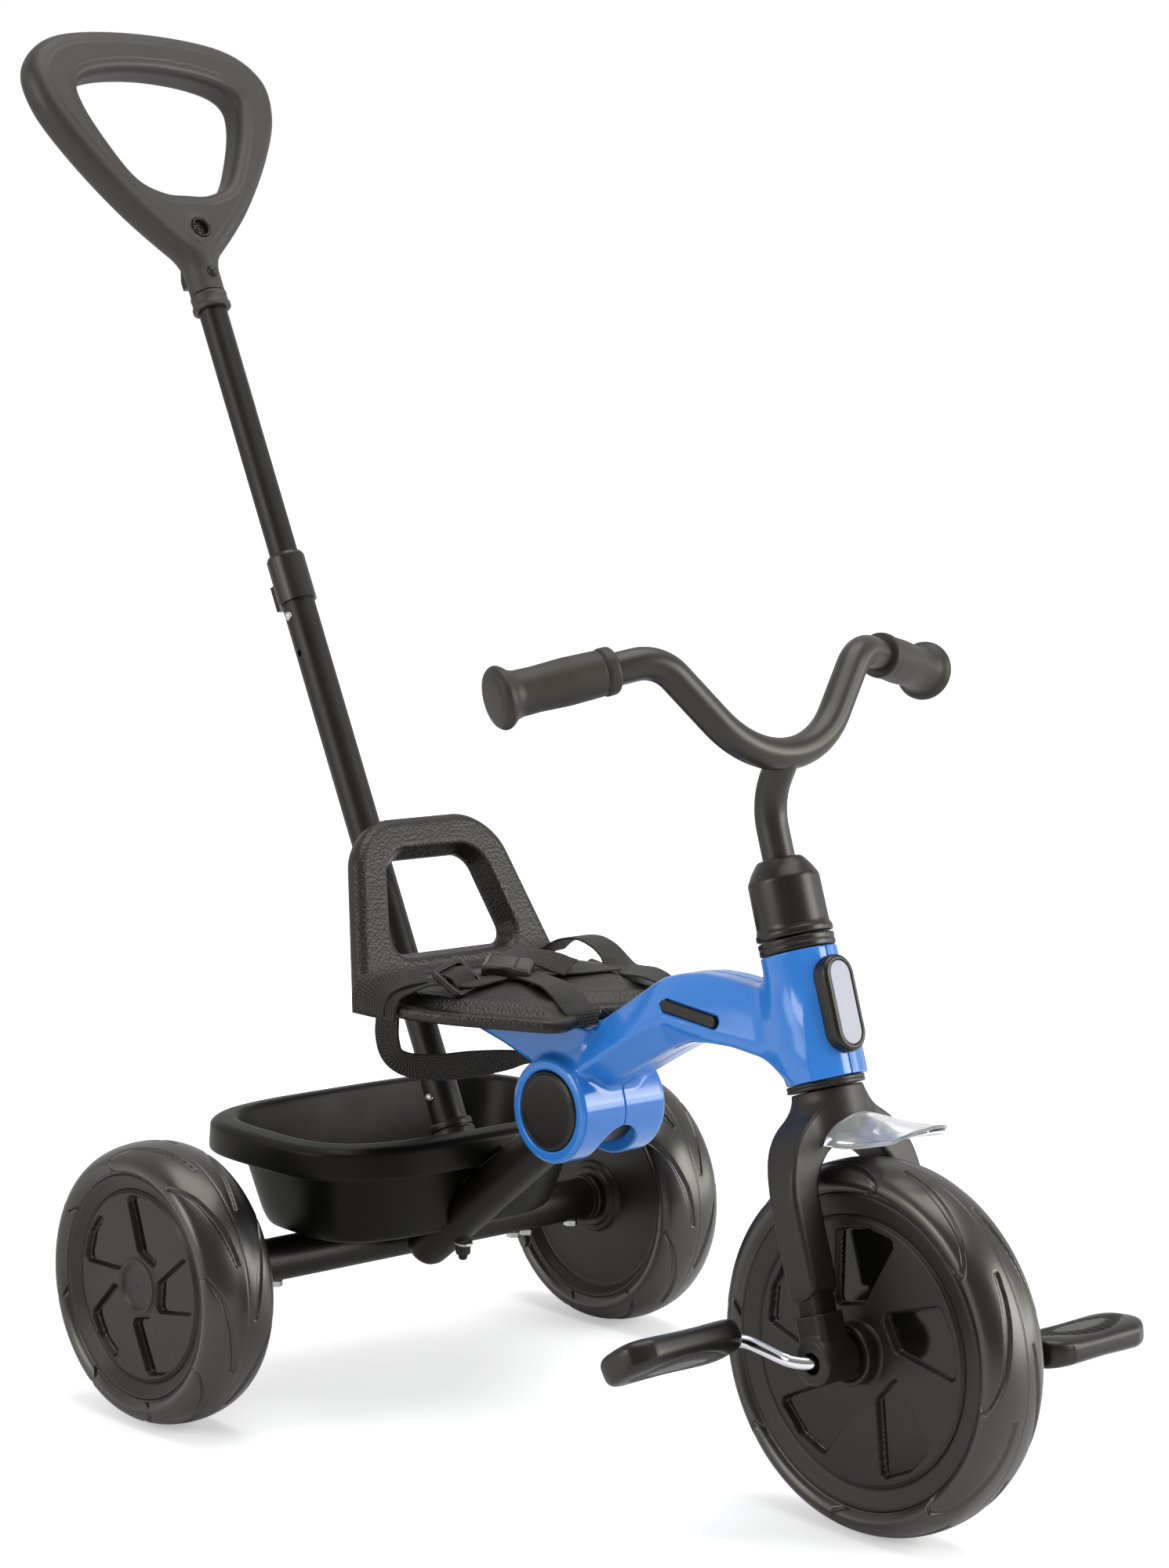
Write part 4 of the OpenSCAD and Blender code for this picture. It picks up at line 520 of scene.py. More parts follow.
# The slot's ends in degrees round the drum and its half width, then the hub's and the cap's room
SLOT_FROM, SLOT_TO, SLOT_R = 218.6, 316.6, 17.6
HUB_R, HUB_HALF, CAP_R, CAP_BED = 28.6, 18, 28.8, 35.4
PORT_X, PORT_Z, PORT_TURN, PORT_HALF, PORT_R, PORT_BED = 326.0, 323.2, np.radians(5), 23, 4.7, 19.4


def frame_field(points):
    """The whole blue frame: beam, drum, tail and head tube with their fillets, less the hollows in it."""
    x, y, z = points[:, 0], np.abs(points[:, 1]), points[:, 2]
    ahead, up = on_head(points)
    rho = np.hypot(x - DRUM[0], z - DRUM[1])
    drum = rounded(rho - DRUM_R, y - DRUM_HALF, 4.0)
    beam = both(both(beam_field(x, y, z), ahead - 12, 2.0), BEAM_BACK - x, 4.0)
    above = both((np.interp(x, *TAIL.T) - z) * 0.95, TAIL_BACK - x, 4.0)
    tail = both(both(both(y - TAIL_HALF, z - SEAT_Z, 1.5), above, 4.0), x - TAIL_FRONT, 6.0)
    ends = np.abs(up - HEAD_FROM - HEAD_LEN / 2) - HEAD_LEN / 2
    head = rounded(np.hypot(ahead, y) - HEAD_R, ends, 1.0)
    f = meet(meet(meet(beam, tail, 8.0), drum, 5.0), head, 15.0)
    f = both(f, ends - 2 * np.clip(-28 - ahead, 0, None), 1.0)
    turn = np.degrees(np.arctan2(z - DRUM[1], x - DRUM[0])) % 360
    off = np.clip(np.maximum(SLOT_FROM - turn, turn - SLOT_TO), 0, 90)
    slot = np.hypot(np.where(off < 90, rho * np.sin(np.radians(off)), rho), y) - SLOT_R
    hub = rounded(rho - HUB_R, y - HUB_HALF, 0.5)
    cap = both(rho - CAP_R, CAP_BED - y, 0.3)
    c, s = np.cos(PORT_TURN), np.sin(PORT_TURN)
    a, b = (x - PORT_X) * c - (z - PORT_Z) * s, (x - PORT_X) * s + (z - PORT_Z) * c
    port = both(np.hypot(np.clip(np.abs(a) - PORT_HALF, 0, None), b) - PORT_R, PORT_BED - y, 0.5)
    for hollow, k in ((slot, 2.0), (hub, 0.6), (cap, 1.2), (port, 1.4)):
        f = both(f, -hollow, k)
    return f


for side, name in ((-1, "frame_shell_right"), (1, "frame_shell_left")):
    def half(p, side=side):
        """The frame on one side of the mid plane, with a fine rounded seam."""
        return both(frame_field(p), 0.14 - p[:, 1] * side, 0.9)

    reach = sorted((-2.0 * side, 43.0 * side))
    skin_piece("moulded_" + name, half, (88, reach[0], 196), (462, reach[1], 388), 1.3, BLUE_ABS, "main_frame",
               stands_for=[name], slot="frame_blue")

# %% [markdown]
# Tyres and rims close on themselves both round the axle and across their section, so each is one surface of two
# parameters that both run round. Its normals come from small steps along each parameter, which keeps fine relief
# clean where a mesh's own normals would smear it.

# %% Surfaces of two parameters with their own normals


def surface_piece(name, surface, u, v, finish, body, **more):
    """A closed surface of two parameters, both running round, with normals from small steps along each of them."""
    a, b = np.meshgrid(u, v, indexing="ij")
    grid = surface(a, b)
    du, dv = (u[1] - u[0]) * 0.2, (v[1] - v[0]) * 0.2
    along = surface(a + du, b) - surface(a - du, b)
    across = surface(a, b + dv) - surface(a, b - dv)
    normals = unit(np.cross(across, along))
    rows, cols = grid.shape[:2]
    i = np.arange(rows * cols).reshape(rows, cols)
    j = np.roll(i, -1, 0)
    quads = np.stack([i, np.roll(i, -1, 1), np.roll(j, -1, 1), j], -1).reshape(-1, 4)
    return piece_from(name, grid.reshape(-1, 3), quads, finish, body, normals=normals.reshape(-1, 3), **more)


def to_segments(p, q, line):
    """The distance from places (p, q) to a broken line, and the share of its length where it is met."""
    best, at = np.full(np.shape(p), 1e9), np.zeros(np.shape(p))
    length = np.r_[0, np.cumsum(np.hypot(*np.diff(line, axis=0).T))]
    for k, (a, b) in enumerate(zip(line[:-1], line[1:])):
        d = b - a
        t = np.clip(((p - a[0]) * d[0] + (q - a[1]) * d[1]) / (d @ d), 0, 1)
        far = np.hypot(p - a[0] - t * d[0], q - a[1] - t * d[1])
        at = np.where(far < best, (length[k] + t * (length[k + 1] - length[k])) / length[-1], at)
        best = np.minimum(best, far)
    return best, at


print("surfaces of two parameters ready")

# %% [markdown]
# Each wheel is a foam tyre on a moulded rim. The tyre is a revolved section with a pattern of curved grooves
# that start round near the crown and thin out towards the rim. A groove is a shallow dip that depends on how
# far a place on the tread lies from the groove's line, so it is pressed into the same grid that makes the tyre.

# %% Foam tyres


def tyre_surface(middle, r, half, seat, lines, count):
    """A tyre: an ellipse's arc over the tread, closed along the rim, less the grooves. The first parameter runs
    round the axle in radians, the second round the section from 0 to 1."""
    c = seat + (r - seat) / 3

    def surface(a, s):
        s = np.mod(s, 1)
        t = np.radians(-120 + 240 * np.clip(s / 0.9, 0, 1))
        side, out = half * np.sin(t), c + (r - c) * np.cos(t)
        back = np.clip((s - 0.9) / 0.1, 0, 1)
        side = np.where(back > 0, side * (1 - 2 * np.clip(back * 1.25 - 0.125, 0, 1)), side)
        out = np.where(back > 0, out - 0.9 * np.sin(np.pi * back), out)
        dip = np.zeros_like(out)
        for line, face in lines:
            step = 2 * np.pi / count
            amid = line[:, 1].mean()
            angle = np.degrees(np.mod(a - np.radians(amid) + step / 2, step) - step / 2)
            groove = np.c_[-line[:, 0], np.radians(line[:, 1] - amid) * r]
            far, at = to_segments(side * face, angle * np.pi / 180 * r, groove)
            width = np.interp(at, [0, 0.35, 1], [1.5, 2.3, 0.4])
            dip += (0.5 + 0.5 * np.tanh((width - far) / 0.5)) * 1.8
        dip += 0.35 * np.exp(-(side / 0.45) ** 2)
        dip *= np.where(back > 0, 0, 1)
        n = unit(np.stack([np.cos(t) / (r - c), np.sin(t) / half], -1))
        out, side = out - dip * n[..., 0], side - dip * n[..., 1]
        return np.stack([middle[0] + out * np.cos(a), middle[1] + side, middle[2] + out * np.sin(a)], -1)

    return surface


# A groove's line: distance from the crown towards the rim, and angle round the axle in degrees
FRONT_GROOVE = np.array([[8, 30], [10, 21], [13.5, 11], [18.5, -1], [26.5, -12]])
REAR_GROOVE = np.array([[6, -21], [9, -12], [12, -4], [19.5, 10], [28.5, 21]])
FRONT_MID = np.array([WHEELBASE, 0, FRONT_R])
REAR_RIGHT, REAR_LEFT = np.array([0, -TRACK / 2, REAR_R]), np.array([0, TRACK / 2, REAR_R])
# Radius of the rim, radius of its flat disc, and how far the disc lies from the wheel's middle plane
FRONT_RIM_R, FRONT_DISC, FRONT_FACE = 105.5, 89, 21.7
REAR_RIM_R, REAR_DISC, REAR_FACE = 81, 68, 21.6
GROOVES = 8
ROUND = np.linspace(0, 2 * np.pi, 600, endpoint=False)
ACROSS = np.linspace(0, 1, 130, endpoint=False)


def shifted(line, by):
    """A groove's line turned round the axle by that many degrees."""
    return line + np.array([0, by])


FRONT_PAIR = shifted(FRONT_GROOVE, 27), shifted(FRONT_GROOVE, 5)
REAR_PAIR = shifted(REAR_GROOVE, 18), shifted(REAR_GROOVE, 40)
for name, middle, r, half, seat, pair, hand, body in (
        ("front_tyre", FRONT_MID, FRONT_R, 26.5, FRONT_RIM_R, FRONT_PAIR, 1, "front_wheel"),
        ("rear_tyre_right", REAR_RIGHT, REAR_R, 29.5, REAR_RIM_R, REAR_PAIR, 1, "rear_wheel_right"),
        ("rear_tyre_left", REAR_LEFT, REAR_R, 29.5, REAR_RIM_R, REAR_PAIR, -1, "rear_wheel_left")):
    tyre = tyre_surface(middle, r, half, seat, ((pair[0], -hand), (pair[1], hand)), GROOVES)
    surface_piece("foam_" + name, tyre, ROUND, ACROSS, TYRE_EVA, body, stands_for=[name], slot="tyre_foam")

# %% [markdown]
# The rim's face is nearly flush with the tyre: a hub, a flat disc with five slanting pockets, a thin groove and
# a ring that slopes out to the tyre. The pockets are a rounded outline of five corners repeated round the axle,
# pressed in with a small bevel. Their floors are marked on the mesh, so that the finish can polish them and paint
# them darker as shade.

# %% Pockets in a rim's face
POCKETS = 5
# A pocket's corners: shares of the disc's radius, and degrees
POCKET_SHARES = np.array([[0.36, 17], [0.93, 0], [0.93, 17], [0.9, 33], [0.38, 55]])


def pocket_dip(x, y, disc, depth, round_by=4.5):
    """How deep the face is at a place: the five pockets' full depth inside, with a short bevel at the wall."""
    a = np.radians(POCKET_SHARES[:, 1])
    ring = disc * POCKET_SHARES[:, :1] * np.c_[np.cos(a), np.sin(a)]
    mid = ring.mean(0)
    ring = mid + (ring - mid) * (1 - round_by / 27)
    step = 2 * np.pi / POCKETS
    amid = np.arctan2(mid[1], mid[0])
    turn = np.mod(np.arctan2(y, x) - amid + step / 2, step) - step / 2 + amid
    px, py = np.hypot(x, y) * np.cos(turn), np.hypot(x, y) * np.sin(turn)
    far, _ = to_segments(px, py, np.r_[ring, ring[:1]])
    inside = np.full(np.shape(px), True)
    for p, q in zip(ring, np.roll(ring, -1, 0)):
        inside &= (q[0] - p[0]) * (py - p[1]) - (q[1] - p[1]) * (px - p[0]) > 0
    far = np.where(inside, -far, far) - round_by
    s = np.clip(0.5 - far / 2.2, 0, 1)
    return depth * s * s * (3 - 2 * s)


def rim_surface(middle, profile, disc, faces, depth, base):
    """A rim: a profile of (radius, distance along the axle) carried round, less the pockets of the given faces,
    each listed as side of the wheel, sense in which the pockets lean, and turn in degrees."""
    run = np.r_[0, np.cumsum(np.hypot(*np.diff(profile, axis=0).T))]

    def surface(a, s):
        w = np.mod(s, 1) * run[-1]
        r, side = np.interp(w, run, profile[:, 0]), np.interp(w, run, profile[:, 1])
        for face, lean, phase in faces:
            flat = (np.sign(side) == face) & (r < disc) & (np.abs(np.abs(side) - base) < 1.2)
            turn = lean * a + np.radians(phase)
            dip = pocket_dip(r * np.cos(turn), r * np.sin(turn), disc, depth)
            side = np.where(flat, side - face * dip, side)
        return np.stack([middle[0] + r * np.cos(a), middle[1] + side, middle[2] + r * np.sin(a)], -1)

    return surface


def polish_and_shade(rim, middle, disc, faces):
    """Marks the pockets' floors on the mesh, so that the finish can make them smooth and paint them dark as shade."""
    at = np.empty(3 * len(rim.data.vertices), np.float32)
    rim.data.vertices.foreach_get("co", at)
    at = at.reshape(-1, 3) * 1000 + [SHIFT, 0, 0] - middle
    polish_and_shade_mark = np.zeros(len(at))
    for face, lean, phase in faces:
        r, turn = np.hypot(at[:, 0], at[:, 2]), lean * np.arctan2(at[:, 2], at[:, 0]) + np.radians(phase)
        floor = pocket_dip(r * np.cos(turn), r * np.sin(turn), disc, 1.0) > 0.98
        polish_and_shade_mark = np.where(floor & (np.sign(at[:, 1]) == face) & (r < disc), 1.0, polish_and_shade_mark)
    rim.data.attributes.new("polish_and_shade", "FLOAT", "POINT").data.foreach_set("value", polish_and_shade_mark.astype(np.float32))


print("pockets in each rim's face:", POCKETS)

# %% [markdown]
# The front rim has the same face on both sides. The rear rims are hollow behind, with a boss for the axle, as such
# wheels are moulded. The grid is fine along the broad faces, where the pockets are, and coarse elsewhere.

# %% Rims


def spread(profile, fine=1.0, coarse=2.2):
    """Shares along a profile: fine steps along its broad faces, coarse ones elsewhere, and every corner kept."""
    run = np.r_[0, np.cumsum(np.hypot(*np.diff(profile, axis=0).T))]
    steps = np.where(np.abs(np.diff(profile[:, 0])) > 40, fine, coarse)
    counts = np.maximum(1, np.round(np.diff(run) / steps).astype(int))
    parts = [np.linspace(a, b, n, endpoint=False) for a, b, n in zip(run[:-1], run[1:], counts)]
    return np.concatenate(parts) / run[-1]


def face_profile(edge, rim, disc, face, hub, boss):
    """One face from the axle out to the tyre: boss with a bevelled lip, disc, groove, sloping ring, groove."""
    return np.array([[5.2, boss - 2], [hub - 4, boss - 2], [hub - 3, boss], [hub - 0.7, boss], [hub, boss - 0.7],
                     [hub, face + 1.4], [hub + 1.4, face], [disc - 1.2, face], [disc - 0.5, face - 2.6],
                     [disc + 0.5, face - 2.6], [disc + 1, face - 1.7], [rim - 2, edge - 0.1], [rim - 1, edge - 0.5],
                     [rim - 0.5, edge - 1.6]])


front_right = face_profile(22.9, FRONT_RIM_R, FRONT_DISC, FRONT_FACE, 20.5, 34) * [1, -1]
front_left = front_right[::-1] * [1, -1]
front_rim = np.r_[front_right, front_left, front_right[:1]]
FINE = np.linspace(0, 2 * np.pi, 430, endpoint=False)
FRONT_POCKETS = ((-1, 1, 0), (1, -1, 0))
turned_front = rim_surface(FRONT_MID, front_rim, FRONT_DISC, FRONT_POCKETS, 5, FRONT_FACE)
front = surface_piece("moulded_front_rim", turned_front, FINE, spread(front_rim), RIM_PP, "front_wheel",
                      stands_for=["front_rim"], slot="rim_plastic")
outer = face_profile(25.4, REAR_RIM_R, REAR_DISC, REAR_FACE, 20, 23.2)
outer[0, 0] = 0.05
INNER_SIDE = [[80.8, 24.6], [80.2, 25.4], [78, 25.4], [77.2, 24.6], [72, 18], [70.6, 17.2], [29, 17.2], [28, 17.8],
              [27.6, 20.2], [27, 20.8], [24.4, 20.8], [23.6, 21.4], [23.3, 23.6], [22.6, 24.4], [6, 24.4],
              [5.05, 23.8], [5.05, -17], [0.05, -17]]
rear_rim = np.r_[outer * [1, -1], INNER_SIDE, outer[:1] * [1, -1]]
for name, middle, hand, body in (("rear_rim_right", REAR_RIGHT, 1, "rear_wheel_right"),
                                 ("rear_rim_left", REAR_LEFT, -1, "rear_wheel_left")):
    profile, pockets = rear_rim[::hand] * [1, hand], ((-hand, -1, 28),)
    turned_rear = rim_surface(middle, profile, REAR_DISC, pockets, 4.5, REAR_FACE)
    rim = surface_piece("moulded_" + name, turned_rear, FINE, spread(profile), RIM_PP, body,
                        stands_for=[name], slot="rim_plastic")
    polish_and_shade(rim, middle, REAR_DISC, pockets)
polish_and_shade(front, FRONT_MID, FRONT_DISC, FRONT_POCKETS)

# %% [markdown]
# The fork cover is one moulding: two legs of nearly square section that swing over the tyre into a round crown,
# with a soft web where they meet. The legs' lower front corner is rounded off. It is drawn from fields of
# distance again, because the web is where the eye reads it as a moulding and not as bent bars. The axle
# knuckles are made alike, an upright socket run into a sleeve round the axle.

# %% Fork cover and axle knuckles
LEG_Y, LEG_HALF, LEG_DEPTH, LEG_END, ARCH_FROM = 50.5, 12.5, 13.0, 40.0, 100.0
SWELL_FROM, SWELL_RUN, SWELL = 108, 46, 7
FORK_CROWN_R, FORK_CROWN_UP, FORK_CROWN_HALF = 24, 156, 15.4


def fork_field(points):
    """Distance from the fork cover: legs and arch as one bent bar, deeper near the top, blended with the crown."""
    ahead, up = on_head(points)
    y = np.abs(points[:, 1])
    out = np.where(up < ARCH_FROM, y, np.hypot(y, up - ARCH_FROM)) - LEG_Y
    t = np.clip((up - SWELL_FROM) / SWELL_RUN, 0, 1)
    deep = LEG_DEPTH + SWELL * t * t * (3 - 2 * t)
    bar = rounded(np.abs(out) - LEG_HALF, np.abs(ahead) - deep, 5.0)
    bar = both(bar, rounded(ahead - LEG_DEPTH, LEG_END - up, 13.0), 2.5)
    crown = rounded(np.hypot(ahead, points[:, 1]) - FORK_CROWN_R, np.abs(up - FORK_CROWN_UP) - FORK_CROWN_HALF, 1.2)
    return meet(bar, crown, 12.0)


skin_piece("moulded_fork", fork_field, (404, -66, 150), (504, 66, 300), 1.5, FORK_PP, "steering",
           stands_for=["fork"], slot="fork_plastic")


def knuckle_field(points):
    """Distance from an axle knuckle: a rounded square socket run into a sleeve, less the hole for the rod."""
    ahead, up = on_head(points)
    y, far = np.abs(points[:, 1]), np.hypot(points[:, 0] - WHEELBASE, points[:, 2] - FRONT_R)
    sleeve = rounded(far - 15, np.abs(y - 50.3) - 15.7, 2.2)
    square = rounded(np.abs(y - LEG_Y) - 12.4, np.abs(ahead) - 12.4, 5.0)
    socket = rounded(square, np.abs(up - 15) - 15, 0.8)
    f = meet(sleeve, socket, 5.0)
    return both(f, -both(far - 7, 57 - y, 0.4), 1.0)


for side, name in ((-1, "knuckle_right"), (1, "knuckle_left")):
    reach = sorted((33.0 * side, 68.0 * side))
    skin_piece("moulded_" + name, knuckle_field, (462, reach[0], 104), (508, reach[1], 164), 1.2, FORK_PP, "steering",
               stands_for=[name], slot="fork_plastic")

# %% [markdown]
# Tubes are sections carried along a path. A round bar that is bent keeps its section square to its path, so the
# same small sweep serves the steel blades, the handlebar and the crank.

# %% Sweeps


def ring_of(half_u, half_v, power=2.0, n=32):
    """A closed section: an oval whose power runs from a circle at 2 to a rounded square at 5."""
    t = np.linspace(0, 2 * np.pi, n, endpoint=False)
    c, s = np.cos(t), np.sin(t)
    return np.c_[half_u * np.sign(c) * np.abs(c) ** (2 / power), half_v * np.sign(s) * np.abs(s) ** (2 / power)]


def eased(points, n):
    """A smooth path through points: cubic spans whose ends share a slope with their neighbours."""
    p = np.r_[[2 * points[0] - points[1]], points, [2 * points[-1] - points[-2]]]
    a, b, c, d = p[:-3, None], p[1:-2, None], p[2:-1, None], p[3:, None]
    t = np.linspace(0, 1, n, endpoint=False)[None, :, None]
    q = 0.5 * (2 * b + (c - a) * t + (2 * a - 5 * b + 4 * c - d) * t ** 2 + (3 * b - a - 3 * c + d) * t ** 3)
    return np.r_[q.reshape(-1, points.shape[1]), points[-1:]]


def carried(path, sections, side):
    """Sections set square to a path. The side vector says which way their first axis lies."""
    along = unit(np.gradient(path, axis=0))
    u = unit(np.cross(np.broadcast_to(side, along.shape), along))
    v = np.cross(along, u)
    sections = np.broadcast_to(sections, (len(path),) + np.shape(sections)[-2:])
    return path[:, None] + sections[..., :1] * u[:, None] + sections[..., 1:] * v[:, None]


def bent(corners, radii, n=14):
    """A path with round bends: straight runs that touch an arc of the given radius at each inner corner."""
    parts = [corners[:1]]
    for a, v, b, r in zip(corners[:-2], corners[1:-1], corners[2:], radii):
        da, db = unit(a - v), unit(b - v)
        half = np.arccos(np.clip(da @ db, -1, 1)) / 2
        middle = v + unit(da + db) * r / np.sin(half)
        ua, ub = unit(v + da * r / np.tan(half) - middle), unit(v + db * r / np.tan(half) - middle)
        turn = np.pi - 2 * half
        f = np.linspace(0, 1, n)[:, None]
        parts.append(middle + r * (np.sin(turn * (1 - f)) * ua + np.sin(turn * f) * ub) / np.sin(turn))
    return np.concatenate(parts + [corners[-1:]])


def dense(path, step):
    """The same path with points at even steps."""
    run = np.r_[0, np.cumsum(np.linalg.norm(np.diff(path, axis=0), axis=1))]
    at = np.linspace(0, run[-1], max(2, int(run[-1] / step)))
    return np.stack([np.interp(at, run, c) for c in path.T], 1)


print("sweeps ready")

# %% [markdown]
# Caps, rings and grips are profiles turned about an axis. The fork's blades are the first pieces made by the sweep:
# square steel tubes with round corners, which run from the knuckles up into the fork cover.

# %% Turned pieces and the fork's steel blades


def turned(profile, place, axis, n=64):
    """A profile of (radius, height) turned about an axis through a place."""
    axis = unit(np.array(axis, float))
    u = unit(np.cross(axis, [0.3, 0.9, 0.1]))
    v = np.cross(axis, u)
    t = np.linspace(0, 2 * np.pi, n, endpoint=False)
    round_by = np.cos(t)[:, None] * u + np.sin(t)[:, None] * v
    profile = np.asarray(profile, float)
    return np.asarray(place) + profile[:, 1, None, None] * axis + profile[:, 0, None, None] * round_by[None]


def turned_piece(name, profile, place, axis, n, finish, body, **more):
    """A piece from a profile turned about an axis through a place, in n steps round."""
    return grid_piece(name, closed_ring(turned(profile, place, axis, n), ends=False), finish, body, **more)


def looped(profile):
    """A profile that returns to its first point, for rings that are open in the middle."""
    return np.r_[profile, profile[:1]]


def head_place(ahead, side, up):
    """A place given ahead of the steering axis, to the left, and up along it from the front axle."""
    c, s = math.cos(HEAD_TILT), math.sin(HEAD_TILT)
    return np.array([WHEELBASE + ahead * c - up * s, side, FRONT_R + ahead * s + up * c])


HEAD_UP = head_place(0, 0, 1) - head_place(0, 0, 0)
HEAD_AHEAD = head_place(1, 0, 0) - head_place(0, 0, 0)


def joined(grids):
    """Several grids as one list of points and squares."""
    start = np.cumsum([0] + [g.shape[0] * g.shape[1] for g in grids])
    quads = [quads_of(*g.shape[:2]) + k for g, k in zip(grids, start)]
    return np.concatenate([g.reshape(-1, 3) for g in grids]), np.concatenate(quads)


BLADE, BLADE_FOOT, BLADE_TOP = ring_of(10, 10, 4.5, 40), 15.5, 84
ways = [np.linspace(head_place(0, s * LEG_Y, BLADE_FOOT), head_place(0, s * LEG_Y, BLADE_TOP), 8) for s in (-1, 1)]
blades = [closed_ring(carried(way, BLADE, HEAD_AHEAD)) for way in ways]
piece_from("steel_fork_blades", *joined(blades), POWDER_COAT, "steering", stands_for=["fork_blades"], slot="black_tube")

# %% [markdown]
# The stem cap is a turned bell with a stepped lip at its foot and a rounded cone at its top. Profiles like this
# one list only the corners that matter, and a small rounding is worked into each, so that a line of light runs
# along every edge as it does on a real moulding.

# %% Stem cap, stem and handlebar


def softened(profile, by, n=5):
    """A profile with each inner corner replaced by a small curve that starts the given distance from it."""
    profile = np.asarray(profile, float)
    parts = [profile[:1]]
    for a, v, b in zip(profile[:-2], profile[1:-1], profile[2:]):
        p = v + unit(a - v) * min(by, 0.45 * np.linalg.norm(a - v))
        q = v + unit(b - v) * min(by, 0.45 * np.linalg.norm(b - v))
        t = np.linspace(0, 1, n)[:, None]
        parts.append((1 - t) ** 2 * p + 2 * t * (1 - t) * v + t ** 2 * q)
    return np.concatenate(parts + [profile[-1:]])


CAP = softened([[13, 0.4], [24.9, 0.4], [26, 1], [26, 4.2], [25.2, 5.6], [24.5, 8], [24.2, 39], [20.4, 46],
                [16.2, 51.6], [14.6, 53], [11, 53]], 1.6)
turned_piece("turned_stem_cap", CAP, head_place(0, 0, 273.6), HEAD_UP, 96, TRIM_ABS, "steering",
             stands_for=["stem_cap"], slot="trim_plastic")

BAR_R, STEM_BEND, STEM_LEAN, DIP_LEAN = 11.0, 366.0, math.radians(24), math.radians(20.6)
stem_turn = STEM_LEAN + HEAD_TILT
stem_top = head_place(0, 0, STEM_BEND) + 36 * (math.sin(stem_turn) * HEAD_AHEAD + math.cos(stem_turn) * HEAD_UP)
stem = dense(bent(np.array([head_place(0, 0, 301), head_place(0, 0, STEM_BEND), stem_top]), [48]), 3)
ROUND_BAR = ring_of(BAR_R, BAR_R, 2, 48)
grid_piece("bent_stem", closed_ring(carried(stem, ROUND_BAR, [0, 1, 0])), GRAPHITE, "steering",
           stands_for=["stem"], slot="graphite_tube")


def dip_place(ahead, side, up):
    """A place on the handlebar's own leaning plane, from the bottom of its dip."""
    c, s = math.cos(DIP_LEAN), math.sin(DIP_LEAN)
    return stem_top + np.array([ahead * c - up * s, side, ahead * s + up * c])


# Half width of the whole bar and of the dip, the shoulder's height over the dip, and the radius of the dip
BAR_HALF, DIP_HALF, SHOULDER, DIP_R = 200, 95, 69, 75
sweep_back = math.tan(math.radians(20.5)) * (BAR_HALF - DIP_HALF)
dip_corner = -DIP_R * (1 / math.cos(math.radians(48.4)) - 1)
corners = np.array([dip_place(-sweep_back, -BAR_HALF, SHOULDER - sweep_back / 4), dip_place(0, -DIP_HALF, SHOULDER),
                    dip_place(0, 0, dip_corner), dip_place(0, DIP_HALF, SHOULDER),
                    dip_place(-sweep_back, BAR_HALF, SHOULDER - sweep_back / 4)])
handlebar = dense(bent(corners, [32, DIP_R, 32], 24), 3)
bar_side = dip_place(1, 0, 0.2) - dip_place(0, 0, 0)
grid_piece("bent_handlebar", closed_ring(carried(handlebar, ROUND_BAR, bar_side)), GRAPHITE, "steering",
           stands_for=["handlebar"], slot="graphite_tube")

# %% [markdown]
# The grips are turned too: a round safety flange at the outer end, a slim body that swells in the palm and a
# lip with a groove at the inner end.

# %% Grips
GRIP = softened([[0, -6], [13.5, -6], [18.6, -4.6], [20.8, -1.6], [20.9, 0.6], [19.4, 3.4], [16.6, 6.6], [15.2, 11],
                 [14.9, 24], [15.7, 46], [15.2, 66], [15.1, 69.4], [14.4, 69.9], [14.4, 70.9], [15.9, 71.6],
                 [15.9, 77.6], [15, 79.4], [11, 79.6]], 1.5)
for s, name in ((0, "grip_right"), (-1, "grip_left")):
    end, inward = corners[s], unit(corners[1 if s == 0 else -2] - corners[s])
    turned_piece("turned_" + name, GRIP, end, inward, 72, GRIP_RUBBER, "steering",
                 stands_for=[name], slot="grip_rubber")

# %% [markdown]
# The crank is one chromed rod, bent out to a spindle on each side of the hub. The pedals are round ended blocks
# with a waist. On both broad faces a lens of fine ribs is pressed in around a bare leaf.

# %% Crank and pedals
# Length and turn of the crank, and how far out its arms and the ends of its spindles lie
CRANK_R, CRANK_TURN, ARM_Y, SPINDLE_Y = 58, math.radians(7), 75.0, 155.0
swing = CRANK_R * np.array([-math.cos(CRANK_TURN), 0, math.sin(CRANK_TURN)])
rod = FRONT_MID + np.array([[0, 0, 0], [0, -ARM_Y, 0], swing - [0, ARM_Y, 0], swing - [0, SPINDLE_Y, 0]])
rod_other = FRONT_MID - (rod - FRONT_MID)
rods = [dense(bent(r, [16, 16], 16), 2.5) for r in (rod, rod_other)]
rods = [closed_ring(carried(r, ring_of(4.5, 4.5, 2, 32), [0.1, 0.02, 1])) for r in rods]
piece_from("chromed_crank", *joined(rods), CHROME, "front_wheel", stands_for=["crank"], slot="chrome")

# Shares of a pedal's length, of its width and of its thickness
PEDAL_SHARES = np.array([[0, 0.3, 0.55], [0.006, 0.46, 0.74], [0.03, 0.66, 0.93], [0.08, 0.83, 1], [0.15, 0.95, 1],
                         [0.22, 1, 0.97], [0.5, 1, 0.92], [0.78, 1, 0.97], [0.86, 0.94, 1], [0.93, 0.8, 0.98],
                         [0.975, 0.62, 0.88], [0.994, 0.42, 0.68], [1, 0.26, 0.5]])
PEDAL_LEN, PEDAL_FROM, RIB_STEP = 102, 84.0, 2.9


